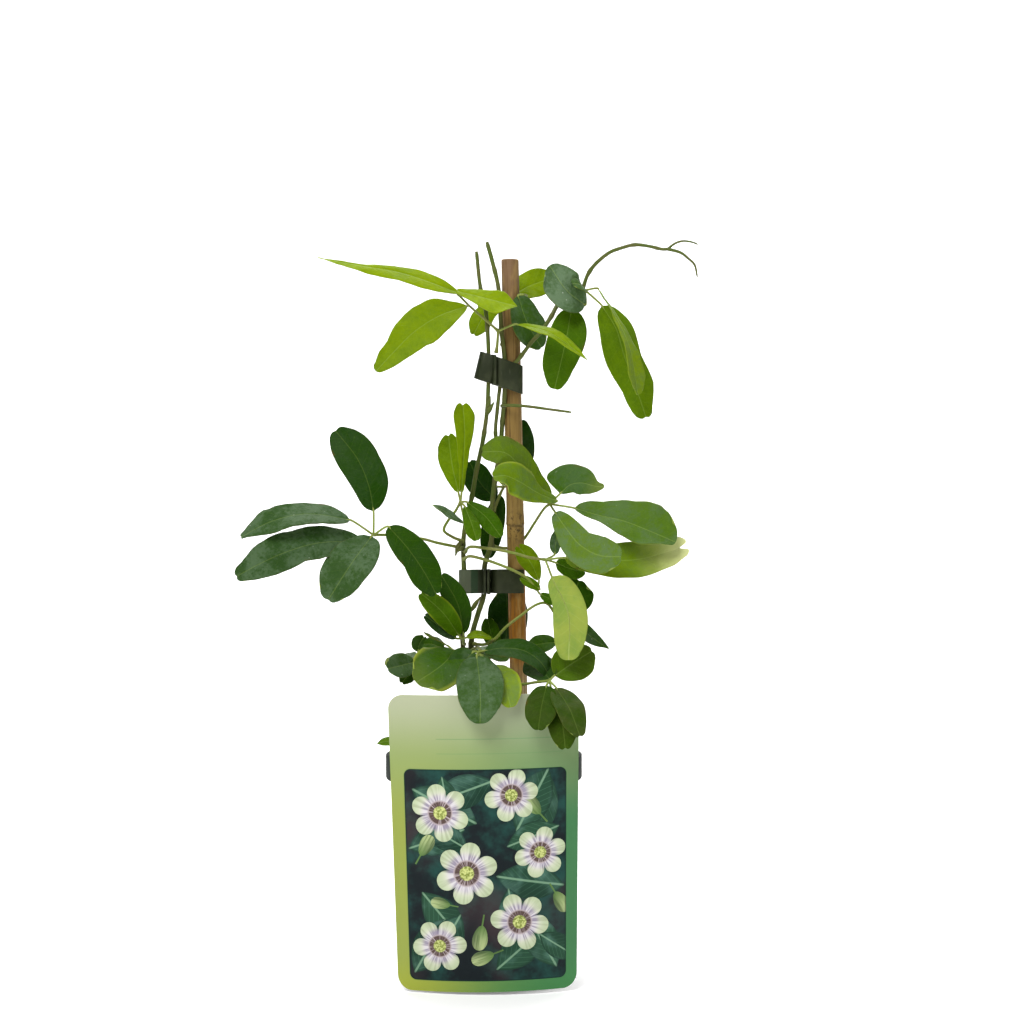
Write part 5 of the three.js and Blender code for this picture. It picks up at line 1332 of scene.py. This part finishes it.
def leaf_values(leaves):
    """The rib lines of some leaflets, and what each of their points has to carry."""
    lines = []
    values = {name: [] for name in ("shape", "tip", "form", "faces", "look", "pale", "edges")}
    for leaf in leaves:
        rough = smooth_path(leaf["rib"])
        length = np.linalg.norm(np.diff(rough, axis=0), axis=1).sum()
        line = smooth_path(leaf["rib"], length / 36)
        notch, end = (0, POINTED_END) if leaf["pointed"] else (leaf["notch"] * MM, NOTCHED_END)
        own = {
            "shape": (leaf["width"] / 2 * MM, leaf["fold"], leaf["curl"] * MM),
            "tip": (notch, end, leaf["widest"]),
            "form": (leaf["fullness"], length * MM, dice.uniform(0, 50)),
            "faces": Vector(leaf["faces"]).normalized(),
            "look": (leaf["youth_and_backlight"], leaf["bloom_and_sheen"], dice.uniform(0, 9)),
            "pale": (leaf["pale_tip"], leaf["pale_rim"], 1),
        }
        own_t = np.linspace(0, 1, len(line))
        left, right = (np.interp(own_t, SIDE_STATIONS, leaf[side]) for side in ("left", "right"))
        values["edges"].append(np.column_stack([left, right, own_t * 0 + leaf["dry"]]))
        lines.append(line)
        for name, value in own.items():
            values[name].append(np.tile(np.array(value, float), (len(line), 1)))
    return lines, values


def petiole_line(path, start, end):
    """A petiole, thicker where it leaves the stem and where it ends in the hub."""
    points = smooth_path(path, 0.5)
    away = np.linspace(0, 1, len(points)) * 0.5 * len(points)
    radii = start + (end - start) * np.linspace(0, 1, len(points))
    radii = radii * (1 + 0.45 * np.exp(-((away / 1.8) ** 2)) + 0.3 * np.exp(-(((away[-1] - away) / 1.4) ** 2)))
    return points, radii * MM


def rib_line(hub, leaf):
    """A leaflet's stalk, that goes on as the rib under its blade."""
    rib = smooth_path(leaf["rib"], 0.6)
    reach = max(4, round(0.8 * len(rib)))
    under = -Vector(leaf["faces"]).normalized() * 0.5
    share = np.linspace(0, 1, reach)
    rib = rib[:reach] + np.array(under) * np.minimum(1, share * 8)[:, None]
    lead = smooth_path([hub, leaf["rib"][0], tuple(rib[min(4, reach - 1)])], 0.5)
    lead = lead[: max(2, len(lead) - 4)]
    points = np.concatenate([lead, rib[3:]])
    ride = np.concatenate([np.zeros(len(lead)), share[3:]])
    stalk = 1 - 0.2 * np.linspace(0, 1, len(points))
    radii = STALK_RADIUS * np.where(ride > 0, 0.42 * (1 - ride) ** 0.7, stalk)
    return points, np.maximum(radii, 0.1) * MM


def frond_mesh(name, plan):
    radius = plan.get("radius", PETIOLE_RADIUS)
    lines = [petiole_line(plan["petiole"], radius * 1.2, radius)]
    lines += [petiole_line(path, radius, STALK_RADIUS) for path in plan.get("rachis", [])]
    rib_lines = [rib_line(leaf["root"] or plan["petiole"][-1], leaf) for leaf in plan["leaflets"]]
    ribs, values = leaf_values(plan["leaflets"])
    blades = grown(blade_pattern, polylines(name, ribs, values), {**BLADE, "Material": leaf_face}, name)
    blades.materials.append(leaf_back)
    blades = thickened(blades, BLADE_THICKNESS)
    return joined(name, [blades, stalks(name, lines, petiole_bark, 8), stalks(name, rib_lines, rib_bark, 8)])


dice = random.Random(11)
blade_pattern = blade_tree()
leaf_face = leaf_coat("leaf face", False)
leaf_back = leaf_coat("leaf back", True)
petiole_bark = green_bark("petiole bark", (0.15, 0.20, 0.03), (0.17, 0.18, 0.045), 60 * MM)
rib_bark = green_bark("rib bark", (0.22, 0.28, 0.06), (0.19, 0.22, 0.045), 60 * MM)
for node, plan in FRONDS.items():
    stands_for(frond_mesh("grown_" + node, plan), node)

# ---------------------------------------------------------------- Picture card
# A thin printed plastic card with round corners, bowed round the pot's front, with a tongue on its
# back that hooks over the rim. Its front is green, with a framed picture of flowers; its back is plain.

CARD_TOP_WIDTH = 89
CARD_BOTTOM_WIDTH = 83
CARD_HEIGHT = 138
CARD_THICKNESS = 0.6
CARD_CORNER = 7
CARD_BOW_RADIUS = 95
CARD_TILT = math.radians(0.8)
CARD_LEAN = 0.034
CARD_MIDDLE = Vector((1.2, -47.8, 70.4))
TONGUE_WIDTH = 18
TONGUE_PATH = [
    (-49.1, 128), (-48.9, 122), (-48.4, 114), (-46, 110.2), (-42.6, 108), (-41, 103), (-40.3, 92), (-39.2, 76),
]


def card_point(across, up):
    bow = across ** 2 / (2 * CARD_BOW_RADIUS)
    x = across * math.cos(CARD_TILT) - up * math.sin(CARD_TILT)
    z = across * math.sin(CARD_TILT) + up * math.cos(CARD_TILT)
    return CARD_MIDDLE + Vector((x, bow - CARD_LEAN * up, z))


def grid_mesh(name, rows, labels):
    """A sheet through rows of points in millimetres. labels holds a vector for each point."""
    columns = len(rows[0])
    points = [Vector(point) * MM for row in rows for point in row]
    faces = [
        (low + side, low + side + 1, low + side + 1 + columns, low + side + columns)
        for low in range(0, (len(rows) - 1) * columns, columns)
        for side in range(columns - 1)
    ]
    mesh = plain_mesh(name, points, faces)
    place = mesh.attributes.new("print", "FLOAT_VECTOR", "POINT")
    place.data.foreach_set("vector", np.array(labels, np.float32).ravel())
    return mesh


def card_sheet():
    ends = 1 - CARD_CORNER / (CARD_TOP_WIDTH / 2)
    stations = np.concatenate([
        -1 + (1 - ends) * (1 - np.cos(np.linspace(0, math.pi / 2, 12))),
        np.linspace(-ends, ends, 41)[1:-1],
        1 - (1 - ends) * (1 - np.sin(np.linspace(0, math.pi / 2, 12))),
    ])
    rows, labels = [], []
    for row in np.linspace(-1, 1, 57):
        line = []
        for station in stations:
            inset = max(0, CARD_CORNER - (1 - abs(station)) * CARD_TOP_WIDTH / 2)
            drop = CARD_CORNER - math.sqrt(max(0, CARD_CORNER ** 2 - inset ** 2))
            up = row * (CARD_HEIGHT / 2 - drop)
            width = CARD_BOTTOM_WIDTH + (CARD_TOP_WIDTH - CARD_BOTTOM_WIDTH) * (0.5 + up / CARD_HEIGHT)
            line.append(card_point(station * width / 2, up))
            labels.append((station * width / 2 * MM, up * MM, 0))
        rows.append(line)
    return grid_mesh("card", rows, labels)


def tongue_sheet():
    path = smooth_path([(0, y, z) for y, z in TONGUE_PATH], 2.0)
    across = np.linspace(-0.5, 0.5, 7) * TONGUE_WIDTH
    rows = [[(x, y, z) for x in across] for _, y, z in path]
    return grid_mesh("tongue", rows, [(0, 0, 0) for row in rows for _ in row])


# The picture: leaves and six-petalled blossoms, each (across, up, turn in degrees, size, tone) from
# the picture's middle, in millimetres, drawn over one another in this order.
PICTURE_MIDDLE = (0.35, -14.65)
PICTURE_HALF = (37.0, 49.25)
PICTURE_CORNER = 3.2
PICTURE_LEAVES = [
    (-34, 40, -28, 34, 0.4), (4, 44, 200, 30, 0.2), (30, 46, 250, 34, 0.7), (14, 20, 62, 33, 0.5),
    (-36, 12, 20, 28, 0.3), (-30, -8, -50, 30, 0.6), (36, -6, 170, 32, 0.35), (4, -44, 40, 30, 0.55),
    (-34, -46, 60, 30, 0.3), (32, -44, 118, 30, 0.75), (-8, 12, 150, 24, 0.15), (34, 22, 200, 26, 0.6),
    (-12, -18, -120, 28, 0.4), (10, -6, -80, 26, 0.25), (-20, 46, -80, 22, 0.65), (24, -28, -35, 22, 0.5),
]
PICTURE_BLOSSOMS = [
    (12, 37, 12, 12.5, 0.2), (-21, 29, 40, 13.5, 0.6), (25, 10, 75, 12, 0.4), (-9, 1, 20, 14.5, 0.8),
    (15, -22, 50, 13.5, 0.3), (-22, -33, 5, 12.5, 0.5),
]
PICTURE_BUDS = [
    (26, 27, 130, 13, 0.5), (-31, 8, 60, 12, 0.3), (-2, -22, -100, 13, 0.6), (4, -36, 200, 12, 0.4),
    (31, -8, -60, 12, 0.7), (-16, -14, 170, 10, 0.2),
]
BLOSSOM_PETALS = 6


def topmost(tree, place, motifs, inside):
    """(own coordinates, whether any) of the last motif over a point. The third coordinate is its tone."""
    chosen, any_motif = bundle(tree, 9.0, 9.0), None
    for across, up, turn, size, tone in motifs:
        local = out(add_node(tree, "ShaderNodeMapping", {
            "Vector": place, "Location": (across, up, -tone), "Rotation": (0, 0, math.radians(turn)),
            "Scale": (size, size, 1),
        }, vector_type="TEXTURE"), "Vector")
        cover = inside(tree, local)
        chosen = mix(tree, cover, chosen, local, "VECTOR")
        any_motif = cover if any_motif is None else any_motif.math("MAXIMUM", cover)
    return chosen, any_motif


def in_leaf(tree, local):
    """A pointed leaf from 0 to 1 along its first coordinate."""
    u, v, _ = split(tree, local)
    return abs(v).math("LESS_THAN", u * (1.0 - u) * 1.05)


def in_bud(tree, local):
    """A plump bud from 0 to 1 along its first coordinate, on a short stalk."""
    u, v, _ = split(tree, local)
    body = ((u - 0.55) / 0.45) ** 2.0 + (v / (0.2 + u * 0.12)) ** 2.0
    stalk = abs(v).math("LESS_THAN", 0.03) * u.math("GREATER_THAN", -0.3) * u.math("LESS_THAN", 0.5)
    return body.math("LESS_THAN", 1.0).math("MAXIMUM", stalk)


def petal_wave(u, v):
    """1 along the middle of each petal and 0 between two."""
    return abs((v.math("ARCTAN2", u) * (BLOSSOM_PETALS / 2)).math("COSINE"))


def distance_from_middle(u, v):
    return (u * u + v * v).math("SQRT")


def in_blossom(tree, local):
    u, v, _ = split(tree, local)
    return distance_from_middle(u, v).math("LESS_THAN", petal_wave(u, v) ** 0.45 * 0.52 + 0.48)


def leaf_picture(tree, local):
    u, v, tone = split(tree, local)
    rib = rise(abs(v), 0.022, 0.008)
    slant = abs(((u - abs(v) * 1.2) * 9.0).math("FRACT") - 0.5)
    sheen = rise(grain(tree, local, 2.6, 3), 0.42, 0.72)
    colour = mix(tree, tone, (0.005, 0.028, 0.017), (0.028, 0.085, 0.045))
    colour = mix(tree, sheen * (tone * 0.5 + 0.3), colour, (0.12, 0.25, 0.20))
    colour = mix(tree, rise(slant, 0.08, 0.0) * 0.25, colour, (0.12, 0.28, 0.16))
    colour = mix(tree, rib * 0.6, colour, (0.22, 0.38, 0.24))
    side = rise(v, -0.02, 0.16) * 0.35
    edge = rise(u * (1.0 - u) * 1.05 - abs(v), 0.05, 0.0)
    return mix(tree, side.math("MAXIMUM", edge * 0.55), colour, (0.004, 0.016, 0.012))


def bud_picture(tree, local):
    u, v, tone = split(tree, local)
    ribs = grain(tree, bundle(tree, u * 1.2, v * 16.0, tone * 9.0), 1.0, 2)
    colour = mix(tree, rise(u, 0.0, 1.0), (0.09, 0.17, 0.045), (0.36, 0.43, 0.20))
    colour = mix(tree, rise(ribs, 0.45, 0.65) * 0.6, colour, (0.06, 0.11, 0.03))
    shade = rise(v, 0.05, -0.28) * 0.7
    return mix(tree, shade, colour, (0.012, 0.035, 0.014))


def blossom_picture(tree, local):
    u, v, tone = split(tree, local)
    away = distance_from_middle(u, v)
    turn = v.math("ARCTAN2", u)
    wave = petal_wave(u, v)
    ray = bundle(tree, turn.math("COSINE") * 9.0, turn.math("SINE") * 9.0, tone * 20.0 + away * 0.8)
    streak = grain(tree, ray, 1.0, 2)
    colour = mix(tree, rise(away, 0.5, 0.95), (0.60, 0.60, 0.50), (0.42, 0.49, 0.31))
    colour = mix(tree, rise(streak, 0.42, 0.68) * 0.5, colour, (0.25, 0.29, 0.18))
    colour = mix(tree, rise(wave, 0.42, 0.05) * rise(away, 0.3, 0.6) * 0.75, colour, (0.06, 0.09, 0.05))
    halo = rise(away, 0.74, 0.52)
    rays = mix(tree, rise(streak, 0.38, 0.6), (0.58, 0.54, 0.60), (0.20, 0.15, 0.27))
    colour = mix(tree, halo * 0.75, colour, rays)
    colour = mix(tree, rise(away, 0.46, 0.40), colour, (0.40, 0.33, 0.34))
    stamens = rise(away, 0.42, 0.36) * rise(streak, 0.30, 0.5)
    colour = mix(tree, stamens * 0.9, colour, (0.05, 0.024, 0.016))
    boss = rise(away, 0.25, 0.21)
    dots = grain(tree, local, 14.0, 2)
    return mix(tree, boss, colour, mix(tree, rise(dots, 0.4, 0.62), (0.18, 0.22, 0.045), (0.52, 0.56, 0.20)))


def card_front():
    """Green printed plastic, from lime at the left to emerald at the right, paler on top, with a picture."""
    material, tree, shader = new_material("printed card")
    place = own_value(tree, "print")
    across, up, _ = split(tree, place)
    x, y = across / MM, up / MM
    tone = mix(tree, rise(x, -36, 34), (0.25, 0.295, 0.06), (0.05, 0.165, 0.065))
    low_light = rise(y, -50, -68) * 0.45
    tone = mix(tree, low_light, tone, mix(tree, rise(x, -40, 10), (0.33, 0.36, 0.02), (0.05, 0.21, 0.055)))
    tone = mix(tree, rise(y, 8, 44) * 0.6, tone, (0.235, 0.31, 0.135))
    tone = mix(tree, rise(y, 36, 70) * 0.85, tone, (0.38, 0.40, 0.28))
    rules = rise(abs(y - 48.6), 0.28, 0.12).math("MAXIMUM", rise(abs(y - 41.8), 0.28, 0.12) * 0.6)
    rules = rules * rise(x, -22.5, -21.5) * rise(x, 37.0, 36.0)
    tone = mix(tree, rules * 0.5, tone, (0.10, 0.24, 0.09))

    shifted = add_node(tree, "ShaderNodeMapping", {
        "Vector": bundle(tree, x, y), "Location": (-PICTURE_MIDDLE[0], -PICTURE_MIDDLE[1], 0),
    })
    picture_place = out(shifted, "Vector")
    cloud = grain(tree, picture_place, 0.05, 4, 0.6)
    picture = mix(tree, rise(cloud, 0.42, 0.66), (0.006, 0.010, 0.012), (0.012, 0.055, 0.045))
    broad = grain(tree, picture_place, 0.02, 2)
    picture = mix(tree, rise(broad, 0.5, 0.7) * 0.7, picture, (0.045, 0.028, 0.032))
    for motifs, inside, drawn in (
        (PICTURE_LEAVES, in_leaf, leaf_picture),
        (PICTURE_BUDS, in_bud, bud_picture),
        (PICTURE_BLOSSOMS, in_blossom, blossom_picture),
    ):
        local, cover = topmost(tree, picture_place, motifs, inside)
        picture = mix(tree, cover, picture, drawn(tree, local))

    px, py, _ = split(tree, picture_place)
    out_x = (abs(px) - py * 0.0152 - (PICTURE_HALF[0] - PICTURE_CORNER)).math("MAXIMUM", 0.0)
    out_y = (abs(py) - (PICTURE_HALF[1] - PICTURE_CORNER)).math("MAXIMUM", 0.0)
    inside = PICTURE_CORNER - distance_from_middle(out_x, out_y)
    # Painted shade: a dark band just inside the picture's edge, as if the window were sunk into the card.
    picture = mix(tree, rise(inside, 1.0, 0.2) * 0.75, picture, (0.004, 0.02, 0.014))
    tone = mix(tree, rise(inside, -0.35, 0.0) * 0.4, tone, (0.06, 0.16, 0.06))
    tone = mix(tree, rise(inside, 0.0, 0.12), tone, picture)
    wear = grain(tree, place, 130, 5, 0.6)
    coat(shader, tone, 0.34 + wear * 0.16, 0.1)
    relief(tree, shader, grain(tree, place, 1300, 2) * 0.4 + wear * 0.6, 0.05 * MM)
    return material


def card_back():
    material, tree, shader = new_material("card back")
    cloud = grain(tree, object_place(tree), 240, 4)
    coat(shader, mix(tree, cloud, (0.62, 0.62, 0.58), (0.7, 0.7, 0.66)), 0.45, 0.5)
    return material


printed, plain = card_front(), card_back()
card_parts = []
for sheet, front in ((card_sheet(), printed), (tongue_sheet(), plain)):
    sheet.materials.append(front)
    sheet.materials.append(plain)
    card_parts.append(thickened(sheet, CARD_THICKNESS * MM, rim_offset=1))
    smooth(card_parts[-1], 40)
stands_for(joined("picture_card", card_parts), "label_card")

# ---------------------------------------------------------------- Studio
# A plain pale floor that curves up into a wall, soft lights, and a level camera in front of the pot.

CAMERA_PLACE = (0.0136, -1.0, 0.2237)
CAMERA_LENS = 72.49
FLOOR_FRONT, FLOOR_BACK, FLOOR_HALF_WIDTH = -3.0, 1.0, 4
SWEEP = 0.8
WALL_TOP = 4.0
FLOOR_GLOW = 0.16
WORLD_LIGHT = 0.22
LIGHTS = [
    ("key", (-0.6, -1.2, 1.5), (0, 0, 0.2), 1.1, 34),
    ("fill", (1.3, -1.2, 0.7), (0, 0, 0.2), 1.2, 5),
    ("top", (0.1, 0.5, 1.8), (0, 0.1, 0), 1.0, 14),
    ("wall", (0, 0.9, 1.9), (0, 1.8, 0.7), 1.6, 32),
]


def floor_sweep():
    turns = np.linspace(0, math.pi / 2, 24)
    line = [(FLOOR_FRONT, 0.0), (FLOOR_BACK, 0.0)]
    line += [(FLOOR_BACK + SWEEP * math.sin(turn), SWEEP - SWEEP * math.cos(turn)) for turn in turns[1:]]
    line += [(FLOOR_BACK + SWEEP, WALL_TOP)]
    points = [(x, y, z) for y, z in line for x in (-FLOOR_HALF_WIDTH, FLOOR_HALF_WIDTH)]
    faces = [(k, k + 1, k + 3, k + 2) for k in range(0, len(points) - 2, 2)]
    mesh = plain_mesh("floor", points, faces)
    smooth(mesh)
    return mesh


def floor_paper():
    material, _, shader = new_material("floor paper")
    coat(shader, (0.9, 0.9, 0.9), 0.75, 0.1)
    plug((1, 1, 1), shader.inputs["Emission Color"])
    shader.inputs["Emission Strength"].default_value = FLOOR_GLOW
    return material


floor = link_object("studio_floor", floor_sweep())
floor.data.materials.append(floor_paper())
for name, place, aim, size, power in LIGHTS:
    light = bpy.data.lights.new(name, "AREA")
    light.shape = "DISK"
    light.size = size
    light.energy = power
    lamp = bpy.data.objects.new(name, light)
    lamp.location = place
    lamp.rotation_euler = (Vector(aim) - lamp.location).to_track_quat("-Z", "Y").to_euler()
    bpy.context.scene.collection.objects.link(lamp)

world = bpy.data.worlds.new("studio")
world.use_nodes = True
backdrop = world.node_tree.nodes["Background"]
backdrop.inputs["Color"].default_value = (1, 1, 1, 1)
backdrop.inputs["Strength"].default_value = WORLD_LIGHT
bpy.context.scene.world = world
bpy.context.scene.view_settings.view_transform = "Standard"

camera_data = bpy.data.cameras.new("camera")
camera_data.lens = CAMERA_LENS
camera_data.sensor_width = 36
camera = bpy.data.objects.new("camera", camera_data)
camera.location = CAMERA_PLACE
camera.rotation_euler = (math.radians(90), 0, 0)
bpy.context.scene.collection.objects.link(camera)
bpy.context.scene.camera = camera
